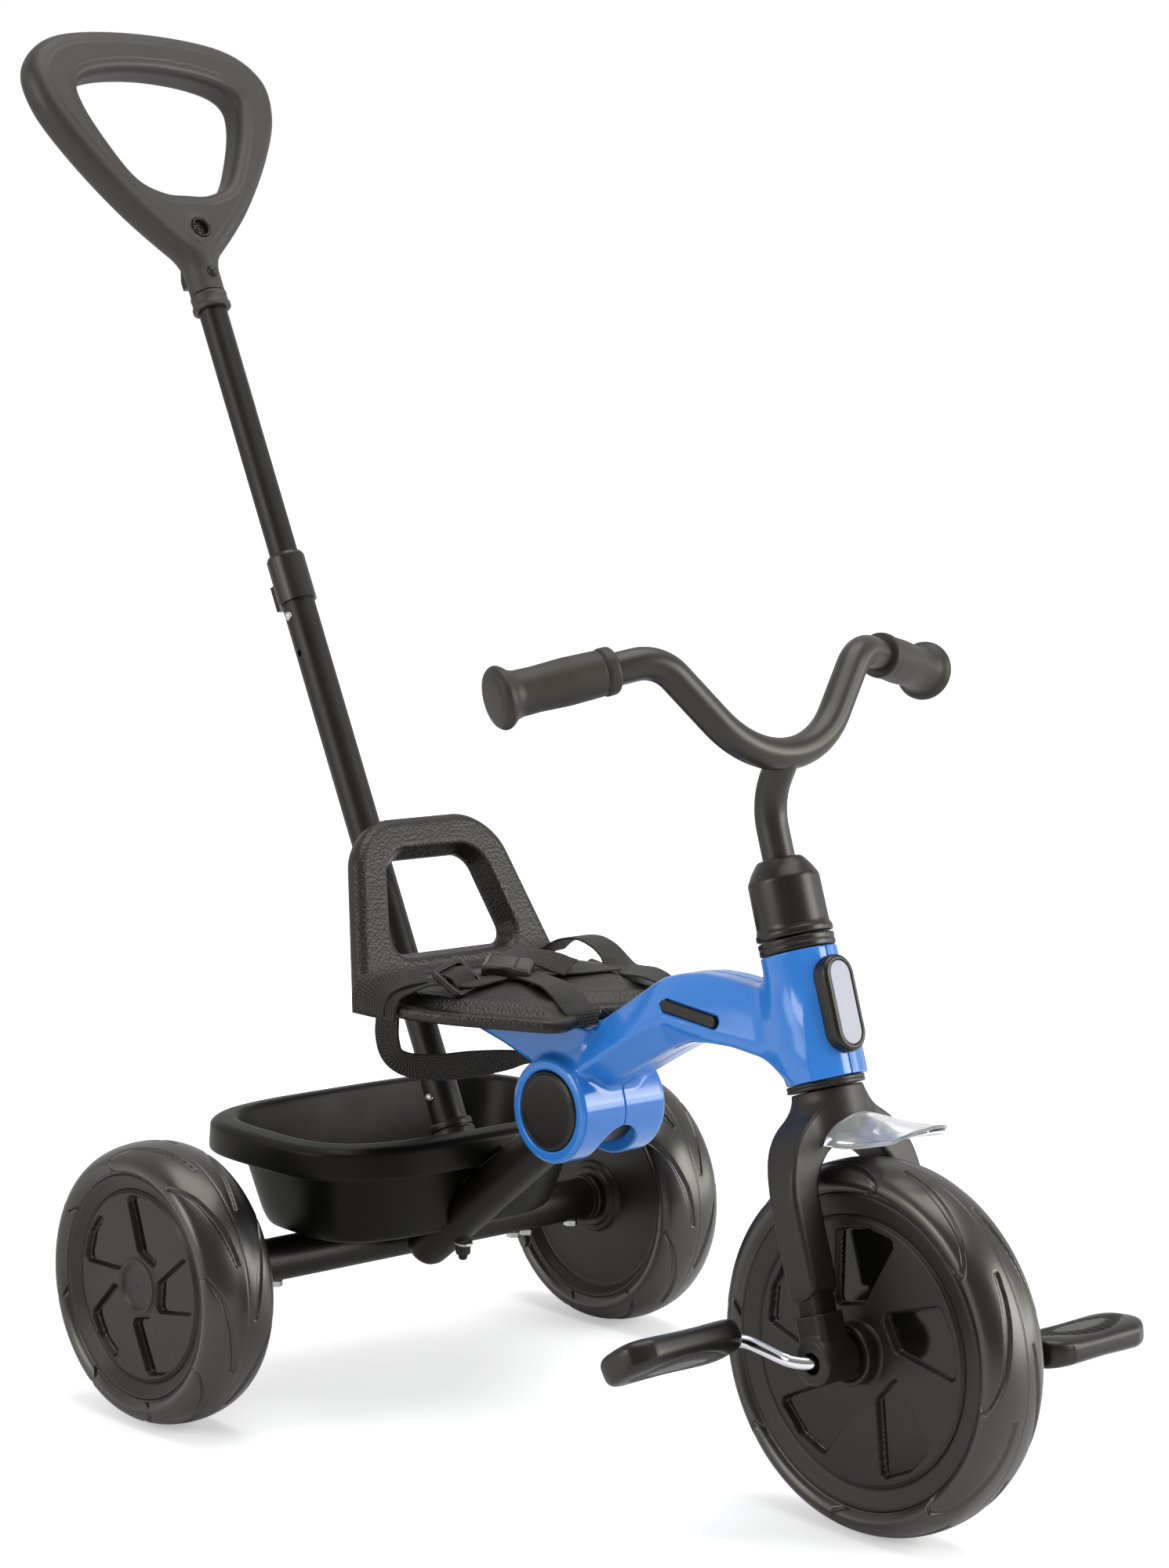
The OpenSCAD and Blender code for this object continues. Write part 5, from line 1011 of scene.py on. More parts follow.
def pedal_grid(middle, out, tilt):
    """A pedal: an oval section scaled along its length, with ribs pressed into a lens on both broad faces. The
    ribs end at the lens's edge and leave a smaller leaf bare."""
    f = np.linspace(0, 1, 260)
    row = eased(PEDAL_SHARES, 20)
    wide, thick = np.interp(f, row[:, 0], row[:, 1]), np.interp(f, row[:, 0], row[:, 2])
    section = ring_of(24.2, 10.6, 3.4, 150)
    u, v = section[None, :, 0] * wide[:, None], section[None, :, 1] * thick[:, None]

    def lens(half, reach):
        """How far inside a lens of that half width and reach a place of the face lies."""
        return 1 - ((f[:, None] - 0.5) / reach) ** 2 - np.abs(u) / half

    mask = np.clip(lens(19, 0.44) * 9, 0, 1) * np.clip(-lens(8.5, 0.3) * 14, 0, 1)
    rib = 0.5 + 0.5 * np.tanh(4 * np.sin(2 * np.pi * f * PEDAL_LEN / RIB_STEP))[:, None]
    rim = np.exp(-(lens(19, 0.44) * 24) ** 2)
    broad = np.clip((np.abs(v) / np.maximum(np.abs(v).max(1, keepdims=True), 1e-6) - 0.8) * 8, 0, 1)
    v = v - np.sign(v) * broad * (0.9 * mask * rib + 0.35 * rim)
    c, s = math.cos(tilt), math.sin(tilt)
    reach = np.broadcast_to(out * f[:, None] * PEDAL_LEN, u.shape)
    grid = np.stack([u * c - v * s, reach, u * s + v * c], -1)
    return closed_ring(middle + np.array([0, out * PEDAL_FROM, 0]) + grid)


for hand, way, out, tilt in (("right", swing, -1, 35), ("left", -swing, 1, 5.5)):
    grid_piece("moulded_pedal_" + hand, pedal_grid(FRONT_MID + way, out, math.radians(tilt)), TRIM_ABS, hand + "_pedal",
               stands_for=["pedal_" + hand], slot="trim_plastic")

# %% [markdown]
# The seat is one hard moulding with a leather grain: a pan with a raised cushion inside a flat border, and a
# leaning back with a window. The back grows out of the pan with a fillet, so both are fields of distance that
# blend. The pan's outline is given by its half width along its length.

# %% Seat pan and back
PAN_X = 58 + 188 * np.array([-0.1, 0, 0.05, 0.25, 0.42, 0.62, 0.85, 0.97, 1.1])
PAN_W = 116 * np.array([0.78, 0.8, 0.86, 0.965, 1, 0.885, 0.67, 0.555, 0.45])
pan_fine = np.linspace(PAN_X[0], PAN_X[-1], 400)
bell = np.hanning(61) / np.hanning(61).sum()
pan_width = np.convolve(np.pad(np.interp(pan_fine, PAN_X, PAN_W), 30, mode="edge"), bell, "valid")
pan_slope = np.gradient(pan_width, pan_fine)
BACK_LEAN, BACK_X, SEAT_UNDER, SEAT_RIM = math.radians(23.8), 65.2, 299.3, 308.5


def pan_edge(x, y):
    """Distance outside the pan's outline in plan: sides, a front that runs back to the beam, and rounded corners."""
    side = (y - np.interp(x, pan_fine, pan_width)) / np.hypot(1, np.interp(x, pan_fine, pan_slope))
    return rounded(rounded(side, (x - 213.5 - 0.46 * y) / 1.1, 15.0), 58 - x, 22.0)


def eased_step(t):
    """A smooth step from 0 to 1."""
    t = np.clip(t, 0, 1)
    return t * t * (3 - 2 * t)


def seat_top(x, y):
    """Height of the pan's upper face: a flat border, a short bevel and a cushion that domes towards its middle."""
    deep = -pan_edge(x, y)
    return SEAT_RIM + 7 * eased_step((deep - 8) / 13) + 6.5 * eased_step((deep - 12) / 50)


def seat_field(points):
    """Distance from the seat: pan and back with a fillet between them, less the window and the room for the beam."""
    x, y, z = points[:, 0], np.abs(points[:, 1]), points[:, 2]
    pan = rounded(pan_edge(x, y), np.maximum((z - seat_top(x, y)) * 0.92, SEAT_UNDER - z), 3.4)
    c, s = math.cos(BACK_LEAN), math.sin(BACK_LEAN)
    h, n = (z - 299.3) * c - (x - BACK_X) * s, (x - BACK_X) * c + (z - 299.3) * s
    outer = rounded((y - 100 + 0.27 * h) / 1.036, h - 131, 33.0)
    window = rounded(rounded(((y - 59.5) * 78.5 + (h - 27.5) * 19.6) / 80.9, h - 103, 14.0), 29.5 - h, 17.0)
    window = window - 0.55 * np.clip(n, -3, None)
    back = both(rounded(outer, np.abs(n) - 9, 8.0), -window, 3.0)
    seat = both(meet(pan, both(back, SEAT_UNDER - z, 2.0), 13.0), SEAT_UNDER - z, 1.0)
    return both(seat, 0.8 - beam_field(np.maximum(x, 214), y, z), 1.0)


skin_piece("moulded_seat", seat_field, (-8, -121, 297), (250, 121, 426), 1.6, SEAT_PP, "main_frame",
           stands_for=["seat"], slot="seat_plastic")

# %% [markdown]
# The harness is flat polyester webbing, 25 mm wide, with ladder slide and side release buckle. A strap is a thin
# rounded section carried along a route, and a second list says which way its face looks at each point, so that it
# can lie flat, fold over an edge and stand up in a loop. The weave reads the strap's own length and width.

# %% Webbing straps
SECTION = ring_of(12.5, 0.9, 6.0, 32)


def ribbon(route, faces):
    """A strap's grid and the millimetres along and across it: the section's broad side is square to the face."""
    path, face = eased(np.array(route, float), 14), eased(np.array(faces, float), 14)
    along = unit(np.gradient(path, axis=0))
    a = unit(np.cross(face, along))
    b = np.cross(along, a)
    across = SECTION[None, :, :1]
    run = np.r_[0, np.cumsum(np.linalg.norm(np.diff(path, axis=0), axis=1))]
    grid = path[:, None] + across * a[:, None] + SECTION[None, :, 1:] * b[:, None]
    return closed_ring(grid), closed_ring(np.stack(np.broadcast_arrays(across[..., 0], run[:, None]), -1)), run[-1]


def strap(name, routes, stands_for):
    """One strap of one or more layers as a piece of webbing."""
    made = [ribbon(*r) for r in routes]
    points, quads = joined([m[0] for m in made])
    piece_from(name, points, quads, WEBBING, "main_frame", stands_for=[stands_for], slot="webbing", crease=50,
               uv=np.concatenate([m[1].reshape(-1, 2) for m in made]))
    print("  webbing", [round(m[2]) for m in made], "mm long")


UP, OUT_R, OUT_L = [0, 0, 1], [0, -1, 0.05], [0, 1, 0.05]
right_band = ([[95, -116.2, 297], [95, -116.6, 309], [96, -114.6, 318], [99, -107, 323], [103, -97, 324.5],
               [111, -88, 323]],
              [OUT_R, OUT_R, [0, -1, 0.5], [0, -0.35, 1], [0, 0.1, 1], [0.2, 0.4, 1]])
right_lap = ([[118, -117.8, 298.8], [119, -117.6, 309], [122, -113, 317.5], [128, -104, 321.2], [137, -92, 324],
              [144, -81, 325.6], [149, -70, 324.4], [150, -54, 324.2], [149, -43, 325]],
             [OUT_R, [0.1, -1, 0.15], [0.1, -0.7, 0.8], [0.1, -0.3, 1], UP, [0.2, 0, 1], [0.2, 0, 1], UP, UP])
right_tail = ([[108, -118.8, 301], [109, -118.8, 311], [113, -113.5, 320.2], [121, -103, 325], [132, -91, 328.4]],
              [OUT_R, [0.1, -1, 0.2], [0.15, -0.7, 0.8], [0.15, -0.3, 1], [0.2, -0.2, 1]])
SLIDE_PLACE = np.array([147.5, -75, 326.8])
SLIDE_ALONG, SLIDE_FACE = unit(np.array([18.3, 7.6, -13.9])), unit(np.array([0.59, 0.06, 0.81]))
rises = ((-9, -2), (-5.5, 1.6), (0, 3.4), (5.5, 1.6), (9, -2))
hump = ([SLIDE_PLACE + SLIDE_ALONG * t + SLIDE_FACE * h for t, h in rises],
        [SLIDE_FACE + SLIDE_ALONG * t for t in (-0.9, -0.6, 0, 0.6, 0.9)])
strap("webbing_lap_right", [right_band, right_lap, right_tail, hump], "harness_lap_right")
left_loop = ([[62, 92, 317.5], [73, 90, 325], [88, 88.5, 331.4], [106, 88, 334], [123, 87, 331], [137, 85, 325],
              [149, 80.5, 320.4], [161, 75, 320], [174, 69, 321.4], [192, 62, 323.6], [210, 58, 323.4],
              [225, 60, 318.6], [233, 63.5, 311], [235, 65, 303]],
             [[-0.8, 0, 1], [-0.7, 0, 1], [-0.4, 0, 1], [0, 0, 1], [0.4, 0, 1], [0.5, 0, 1], [0.2, -0.1, 1],
              [0, -0.15, 1], [0, -0.2, 1], [0, -0.15, 1], [0.2, 0, 1], [0.5, 0.2, 1], [0.9, 0.5, 0.5], [0.9, 0.5, 0]])
left_band = ([[100, 112.4, 299], [100, 112.8, 305], [100.5, 111, 310.4], [102, 104, 311.4]],
             [OUT_L, OUT_L, [0, 1, 0.6], [0, 0.1, 1]])
left_lap = ([[160, 60, 322.6], [159, 44, 323], [156, 26, 323.2], [152, 8, 323.6], [150, -8, 324.4]], [UP] * 5)
spare_end = ([[121, -9, 333.4], [136, 2, 333.4], [150, 10, 331], [158, 14, 328.6], [164, 17, 327.2]],
             [[-0.2, -0.2, 1], [0, -0.25, 1], [0.15, -0.3, 1], [0.15, -0.3, 1], [0.15, -0.3, 1]])
strap("webbing_lap_left", [left_loop, left_band, left_lap, spare_end], "harness_lap_left")
front_route = ([[160, -22, 325.6], [178, -23, 324.6], [194, -25, 323.2], [208, -28, 318.6], [219, -30, 313.4],
                [228, -31.5, 309], [231.4, -32, 301]],
               [UP, UP, [0.1, 0, 1], [0.3, 0, 1], [0.5, -0.1, 0.9], [0.9, -0.2, 0.5], [1, -0.2, 0]])
strap("webbing_front_strap", [front_route], "harness_front_strap")
under_loop = ([[70, -73, 298.6], [69.5, -73, 288], [68, -72, 272], [70, -68, 258], [80, -60, 251.5], [100, -48, 252],
               [123, -34, 257], [142, -16, 261], [152, 2, 262]],
              [[0, -1, 0], [0, -1, 0], [0.05, -1, -0.1], [0.1, -1, -0.3], [0.2, -0.9, -0.5], [0.3, -0.8, -0.55],
               [0.3, -0.8, -0.6], [0.3, -0.7, -0.8], [0.3, -0.5, -1]])
strap("webbing_under_loop", [under_loop], "harness_under_loop")

# %% [markdown]
# The slide is a flat frame with rounded bars, and the webbing rises over its middle bar. The buckle is a small
# box with bevelled edges, a waist, and a window on each side where the catches show. Both are fields of distance
# in their own axes, turned into place afterwards.

# %% Slide and buckle


def set_in(points, normals, place, along, face):
    """Points and normals from a piece's own axes to the trike: first axis along, third axis along its face."""
    along = unit(np.array(along, float))
    side = unit(np.cross(face, along))
    turn = np.stack([along, side, np.cross(along, side)])
    return points @ turn + place, normals @ turn


def slide_field(p):
    """A frame of 28 by 36 mm with a rounded bar all round and a thinner bar across its middle."""
    a, b, n = np.abs(p).T
    frame = rounded(rounded(a - 14, b - 18, 5.0), n - 2.3, 1.6)
    frame = both(frame, -rounded(a - 10, b - 13.8, 3.0), 1.6)
    return np.minimum(frame, both(rounded(a - 2.4, n - 1.2, 0.8), b - 15, 0.4))


def buckle_field(p):
    """A box with a bevelled top and a waist at its middle, less a catch window in each side."""
    a, b, n = np.abs(p[:, 0]), np.abs(p[:, 1]), np.abs(p[:, 2])
    waist = 15.6 - 1.4 * np.exp(-(p[:, 0] / 6) ** 2)
    box = rounded(rounded(a - 17.5, b - waist, 4.0), n - 6.3, 1.8)
    box = both(both(box, (b + n - 18.4) * 0.707, 1.0), (a + n - 20.4) * 0.707, 1.0)
    groove = both(np.abs(p[:, 0] - 6) - 0.5, 5.2 - n, 0.3)
    window = rounded(rounded(np.abs(p[:, 0] + 6) - 7, n - 2.6, 1.5), 12.5 - b, 0.5)
    return both(both(box, -window, 0.8), -groove, 0.4)


for name, field, reach, cell, place, along, face, node in (
        ("moulded_slide", slide_field, (15.5, 19.5, 4), 0.8, SLIDE_PLACE, SLIDE_ALONG, SLIDE_FACE, "harness_slider"),
        ("moulded_buckle", buckle_field, (22, 17.5, 7.5), 0.8, (147, -28, 328.4), (0.75, 0.66, -0.08), (0.1, -0.06, 1),
         "harness_buckle")):
    points, quads, normals = skin_of(field, -np.array(reach), reach, cell)
    points, normals = set_in(points, normals, np.array(place), along, face)
    piece_from(name, points, quads, TRIM_ABS, "main_frame", stands_for=[node], slot="trim_plastic", normals=normals)

# %% [markdown]
# The basket is a satin tub with a broad apron that hangs from its rim. Its plan is a squarish oval, so each row of
# the grid is one such oval at its own size and height, from the middle of the floor up the inside, over the rim,
# round the apron and back underneath. The rear frame's tube passes under a tunnel in the front and the floor: there
# each point is lifted to the tunnel's roof.

# %% Basket
TUBE_SLOPE, TUBE_TOP, BASKET_X, FLOOR_HALF = math.radians(38.6), DRUM, 12, (61, 109)
inside_way = softened([[-61, 121.8], [-3.2, 121.8], [1.5, 130], [19.6, 197], [21.4, 200.5]], 7.0, 8)
over_way = softened([[21.4, 200.5], [24, 201.2], [33.5, 199.6], [37.3, 196.2], [38.0, 179.0], [37.2, 176.6],
                     [35.0, 177.4], [34.4, 194.0], [31.5, 196.8], [25.2, 196.8], [22, 193.6]], 1.8, 5)
outside_way = softened([[22, 193.6], [4.0, 128], [-1.5, 119.2], [-61, 119.2]], 9.0, 8)


def in_steps(way, step):
    """A way with points no further apart than a step, its corners kept."""
    spans = list(zip(way[:-1], way[1:]))
    counts = [max(1, int(np.ceil(np.linalg.norm(b - a) / step))) for a, b in spans]
    parts = [np.linspace(a, b, n, endpoint=False) for (a, b), n in zip(spans, counts)]
    return np.concatenate(parts + [way[-1:]])


def oval(d, n=420):
    """Ovals of power 3.5 that grow by d from the floor's edge, or shrink to a point at its middle."""
    t = np.linspace(0, 2 * np.pi, n, endpoint=False)
    c, s = np.cos(t), np.sin(t)
    u = np.stack([np.sign(c) * np.abs(c) ** (2 / 3.5), np.sign(s) * np.abs(s) ** (2 / 3.5)], 1)
    x, y = FLOOR_HALF
    half = np.where(d[:, None] < 0, np.c_[x + d, (x + d) * y / x], np.c_[x + d, y + d * 1.067])
    return half[:, None] * u[None]


def lifted(x, y, z, r):
    """Heights no lower than the tunnel's roof, which follows the tube with the given radius."""
    axis = TUBE_TOP[1] - (TUBE_TOP[0] - x) * math.tan(TUBE_SLOPE)
    roof = axis + np.sqrt(np.clip(r * r - y * y, 0, None)) / math.cos(TUBE_SLOPE)
    return np.where(np.abs(y) < r, np.maximum(z, roof), z)


inside, over, outside = in_steps(inside_way, 3.0), in_steps(over_way, 2.0), in_steps(outside_way, 3.0)
way = np.concatenate([inside, over, outside])
split = len(inside) + len(over) // 2
plan = oval(way[:, 0])
radius = np.where(np.arange(len(way)) < split, 21.6, 18.9)[:, None]
height = lifted(plan[..., 0] + BASKET_X, plan[..., 1], np.broadcast_to(way[:, 1:], plan.shape[:2]), radius)
tub = np.stack([plan[..., 0] + BASKET_X, plan[..., 1], height], -1)
grid_piece("moulded_basket", closed_ring(tub, ends=False), BASKET_PP, "rear_frame", stands_for=["basket"],
           slot="basket_plastic", crease=60)

# %% [markdown]
# The steel tubes keep their solids' form, but the joints between them are what the eye goes to: the cross tube's
# end collars are stepped, the push bar stands in a collar with two lips, and a screw with a washer and a ribbed
# cap hangs under the down tube.

# %% Collars, down tube, washer and knob
COLLAR = softened([[16.2, 0], [18.2, 0], [18.4, 0.6], [18.4, 3.6], [17.6, 4.2], [17.6, 5], [18.4, 5.6], [18.4, 8.2],
                   [17.8, 9], [16.2, 9]], 0.5, 4)
turns = [turned(looped(COLLAR), (0, s * 185, REAR_R), (0, s, 0), 72) for s in (-1, 1)]
collars = [closed_ring(t, ends=False) for t in turns]
piece_from("turned_axle_collars", *joined(collars), FORK_PP, "rear_frame", stands_for=["axle_collars"],
           slot="trim_plastic")
BAR_FOOT, BAR_LEAN = np.array([84.68, 0, 141.41]), math.radians(26.9)
BAR_UP = np.array([-math.sin(BAR_LEAN), 0, math.cos(BAR_LEAN)])
BAR_FRONT = np.array([math.cos(BAR_LEAN), 0, math.sin(BAR_LEAN)])
SOCKET_COLLAR = softened([[13.1, 0], [16.2, 0], [16.3, 0.8], [16.3, 4.6], [15.3, 5.2], [15.3, 6.4], [15.9, 7],
                          [15.9, 10.6], [15.2, 12], [13.1, 12]], 0.6, 4)
turned_piece("turned_socket_collar", looped(SOCKET_COLLAR), BAR_FOOT + 51 * BAR_UP, BAR_UP, 72, FORK_PP, "rear_frame",
             stands_for=["socket_collar"], slot="trim_plastic")
TUBE_WAY = np.array([math.cos(TUBE_SLOPE), 0, math.sin(TUBE_SLOPE)])
TUBE_FOOT_X = 26.0
tube_foot = np.array([TUBE_FOOT_X, 0, TUBE_TOP[1] - (TUBE_TOP[0] - TUBE_FOOT_X) * math.tan(TUBE_SLOPE)])
TUBE = [[0.02, 0], [8, 0.5], [12.4, 2.4], [15.2, 5.4], [16.7, 9.4], [17, 13.5], [17, 100], [17, 197], [0.02, 197]]
turned_piece("bent_down_tube", TUBE, tube_foot, TUBE_WAY, 72, POWDER_COAT, "rear_frame",
             stands_for=["down_tube"], slot="black_tube")
KNOB_AT = (73.2, 0, 111.2)
WASHER = softened([[0.02, 0], [6.6, 0], [7.4, -0.5], [7.4, -1.9], [6.6, -2.4], [0.02, -2.4]], 0.4, 3)
turned_piece("zinc_washer", WASHER, KNOB_AT, (0.22, 0, 0.975), 48, ZINC, "rear_frame", slot="zinc")
KNOB = softened([[0.02, -2.4], [5.6, -2.4], [5.9, -3.4], [5.4, -4.4], [5.2, -9.6], [4.2, -10.6], [3.4, -10.8],
                 [3.1, -13.4], [2, -14.6], [0.02, -14.8]], 0.5, 4)
knob = turned(KNOB, (0, 0, 0), (0, 0, 1), 96)
knob[..., :2] *= 1 + 0.07 * np.cos(np.arange(96) * 2 * np.pi / 8)[None, :, None]
grid_piece("ribbed_knob", closed_ring(knob + KNOB_AT, ends=False), FORK_PP, "rear_frame",
           stands_for=["basket_knob"], slot="trim_plastic")

# %% [markdown]
# The push handle is a moulded loop with a flat front band. Its outer edge is rolled over, its inner edge less so,
# and a fine crease marks where each roll meets the band. At the bottom the loop runs together into a web with a
# screw, and from there into a round neck. Outer and inner outlines are given for one half and mirrored.

# %% Push handle
# The handle's foot on the bar, its half width and height, and how far up its screw sits
HANDLE, HANDLE_SIZE, SCREW_UP = BAR_FOOT + 722 * BAR_UP, (114, 237), 64
OUTER_SHARES = np.array([[0, 0.13], [0.19, 0.2], [0.51, 0.355], [0.81, 0.55], [0.985, 0.72], [0.97, 0.865],
                         [0.67, 0.968], [0, 1]])
INNER_SHARES = np.array([[0, 0.4], [0.19, 0.405], [0.38, 0.45], [0.53, 0.565], [0.645, 0.7], [0.635, 0.785],
                         [0.41, 0.83], [0, 0.848]])


def half_outline(shares, n=9):
    """The smooth half outline through the listed places, level where it crosses the mid plane."""
    flip = np.array([-1, 1])
    return eased(np.r_[shares[1:2] * flip, shares, shares[-2:-1] * flip] * HANDLE_SIZE, n)[n:-n]


def outside_of(y, h, line):
    """Distance outside a half outline that is closed along the mid plane."""
    far, _ = to_segments(y, h, line)
    inside = np.zeros(np.shape(y), bool)
    for p, q in zip(line[:-1], line[1:]):
        rise = q[1] - p[1] if abs(q[1] - p[1]) > 1e-9 else 1e-9
        inside ^= ((p[1] > h) != (q[1] > h)) & (y < p[0] + (h - p[1]) * (q[0] - p[0]) / rise)
    return np.where(inside, -far, far)


OUTER, INNER = half_outline(OUTER_SHARES), half_outline(INNER_SHARES)


def handle_field(p):
    """Distance from the handle in its own axes: front, side and up along the bar."""
    n, y, h = p[:, 0], np.abs(p[:, 1]), p[:, 2]
    out, gap = outside_of(y, h, OUTER), outside_of(y, h, INNER)
    flat = np.abs(n) - 14.3 - 0.75 * eased_step((-11.8 - out) / 2.6) * eased_step((gap - 8.2) / 2.6)
    rolled = both(rounded(out, flat, 13.0), rounded(-gap, flat, 9.0), 2.0)
    neck = rounded(np.hypot(n, p[:, 1]) - 13.5, np.abs(h - 43) - 29.5, 1.0)
    f = meet(rolled, neck, 7.0)
    screw = both(np.hypot(y, h - SCREW_UP) - 8.4, 9.5 - n, 0.2)
    return both(f, -screw, 0.7)


def on_bar(points):
    """From the bar's own axes to the trike's."""
    return points @ np.stack([BAR_FRONT, [0, 1, 0], BAR_UP])


points, quads, normals = skin_of(handle_field, (-17, -117, 11), (17, 117, 239), 1.6)
piece_from("moulded_push_handle", on_bar(points) + HANDLE, quads, HANDLE_NYLON, "push_bar",
           stands_for=["push_handle"], slot="handle_plastic", normals=on_bar(normals))

# %% [markdown]
# Small turned pieces finish the bar: a stepped ring under the handle's neck, a screw sunk in its web, a domed rivet
# on the neck, and two snap rivets on the bar's right side, one below the sleeve and one above the basket's socket.

# %% Ring, screw and rivets of the push bar
LIP = softened([[11.3, 0], [14.6, 0], [15, 0.6], [15, 3.8], [14.1, 4.8], [13.9, 9.6], [14.3, 10.4], [14.3, 12],
                [13.8, 12.9], [11.3, 12.9]], 0.7, 4)
turned_piece("turned_handle_ring", looped(LIP), HANDLE, BAR_UP, 72, HANDLE_NYLON, "push_bar",
             stands_for=["handle_ring"], slot="handle_plastic")
SCREW = softened([[0.02, 12.6], [1.6, 12.4], [2.2, 11.4], [2.7, 12.6], [4.4, 12.2], [5.1, 11.2], [5.7, 11.2],
                  [6.4, 15.4], [7.1, 16.2], [7.8, 15.9], [8.1, 14.9], [8.1, 10], [0.02, 10]], 0.5, 4)
turned_piece("turned_handle_screw", SCREW, HANDLE + SCREW_UP * BAR_UP, BAR_FRONT, 56, TRIM_ABS, "push_bar",
             stands_for=["handle_screw"], slot="trim_plastic")
RIVET = softened([[0.02, 3.9], [2.2, 3.5], [3.8, 2.3], [4.6, 0.7], [4.7, -0.6], [4.2, -1], [4.2, -3],
                  [0.02, -3]], 0.6, 4)
turned_piece("turned_handle_rivet", RIVET, HANDLE + 27.3 * BAR_UP + 13.1 * BAR_FRONT, BAR_FRONT, 48, RIM_PP, "push_bar",
             stands_for=["handle_rivet"], slot="trim_plastic")
SNAP = softened([[0.02, 2.3], [2.2, 2.0], [3.4, 1.0], [3.6, -0.3], [2.6, -0.6], [2.6, -2.4], [0.02, -2.4]], 0.5, 4)
# How far up the bar each snap rivet sits, and the tube's radius there
SNAPS_AT = ((467.4, 12.7), (83.0, 12.9))
snaps = [turned(SNAP, BAR_FOOT + s * BAR_UP + [0, -r, 0], (0, -1, 0), 40) for s, r in SNAPS_AT]
points, quads = joined([closed_ring(s, ends=False) for s in snaps])
piece_from("turned_bar_rivets", points, quads, ZINC, "rear_frame", stands_for=["bar_rivets"], slot="zinc", crease=40)

# %% [markdown]
# Small trim closes the blue frame: a round cap with a raised lip on each end of the drum, a dark bar in the slot of
# each side, two rings round the steering tube, and a badge whose bezel carries a bare silver panel.

# %% Drum caps, side inserts, rings and badge
DRUM_CAP = softened([[0.02, 40.3], [22, 40.45], [25.2, 40.3], [25.8, 39.9], [26.3, 40.75], [27.4, 40.6], [28.2, 39.6],
                     [28.3, 38], [28.3, 35.6], [0.02, 35.6]], 0.6, 4)
INSERT_X, INSERT_Z, INSERT_TURN = 323.2, 322.8, math.radians(5)


def insert_field(p):
    """A bar with round ends, set in the side slot and a little crowned."""
    c, s = math.cos(INSERT_TURN), math.sin(INSERT_TURN)
    x, z = p[:, 0] - INSERT_X, p[:, 2] - INSERT_Z
    a, b = x * c - z * s, x * s + z * c
    end = np.hypot(np.clip(np.abs(a) - 22.8, 0, None), b) - 4.2
    return rounded(end, np.abs(np.abs(p[:, 1]) - 21.9) - 2.3 + 0.02 * np.abs(b), 1.1)


for side, hand in ((-1, "right"), (1, "left")):
    turned_piece("turned_hinge_cap_" + hand, DRUM_CAP, (DRUM[0], 0, DRUM[1]), (0, side, 0), 96, TRIM_ABS, "main_frame",
                 stands_for=["hinge_cap_" + hand], slot="trim_plastic")
    reach = sorted((18.5 * side, 25.5 * side))
    skin_piece("moulded_side_insert_" + hand, insert_field, (294, reach[0], 312), (352, reach[1], 334), 0.9, TRIM_ABS,
               "main_frame", stands_for=["side_insert_" + hand], slot="trim_plastic")
for name, at, tall, r in (("headset_upper_ring", 264.4, 8.5, 25.7), ("headset_lower_ring", 172.1, 5.1, 26.3)):
    ring = softened([[13, 0], [r - 0.6, 0], [r, 0.7], [r, tall * 0.42], [r - 0.5, tall * 0.5], [r, tall * 0.58],
                     [r, tall - 0.7], [r - 0.6, tall], [13, tall]], 0.5, 4)
    turned_piece("turned_" + name, looped(ring), head_place(0, 0, at), HEAD_UP, 96, TRIM_ABS, "main_frame",
                 stands_for=[name], slot="trim_plastic")


def stadium(p, half_len, half_w):
    """Distance outside a round ended outline on the front of the head tube, and how far ahead of its axis."""
    ahead, up = on_head(p)
    return np.hypot(np.clip(np.abs(up - 224) - half_len + half_w, 0, None), p[:, 1]) - half_w, ahead


def bezel_field(p):
    """The bezel: a round ended block with a rolled edge, less the bed of the panel."""
    edge, ahead = stadium(p, 32.5, 14)
    bed, _ = stadium(p, 28.4, 9.6)
    block = both(rounded(edge, ahead - 33.5, 3.2), 21.5 - ahead, 0.5)
    return both(block, -both(bed, 32.2 - ahead, 0.2), 0.8)


def panel_field(p):
    """The panel that lies in the bezel's bed."""
    edge, ahead = stadium(p, 28.1, 9.3)
    return both(rounded(edge, ahead - 33.3, 0.9), 32.3 - ahead, 0.2)


for name, field, finish, cell, slot in (("badge_bezel", bezel_field, TRIM_ABS, 0.9, "trim_plastic"),
                                        ("badge_panel", panel_field, BADGE, 0.6, "badge_silver")):
    skin_piece("moulded_" + name, field, (420, -15, 310), (458, 15, 380), cell, finish, "main_frame",
               stands_for=[name], slot=slot)

# %% [markdown]
# The fender is a thin clear sheet in front of the fork. It arches across and falls in a soft wave to a flat lip.
# One parameter runs forward from the fork and the other across, and the sheet starts where the fork lets it.

# %% Clear fender
# How far forward, height of the edge, arch of the middle and width, as shares
FENDER_SHARES = np.array([[0, 0.06, 0.6, 0.96], [0.17, 0.1, 0.6, 1], [0.38, 0.16, 0.54, 1], [0.58, 0.28, 0.4, 0.99],
                          [0.79, 0.44, 0.26, 0.94], [0.93, 0.58, 0.16, 0.86], [1, 0.66, 0.12, 0.8]])
FENDER = eased(FENDER_SHARES, 12)
FENDER_X, FENDER_LEN, FENDER_HALF, FENDER_Z, FENDER_RISE = 446, 84, 29, 253, 32


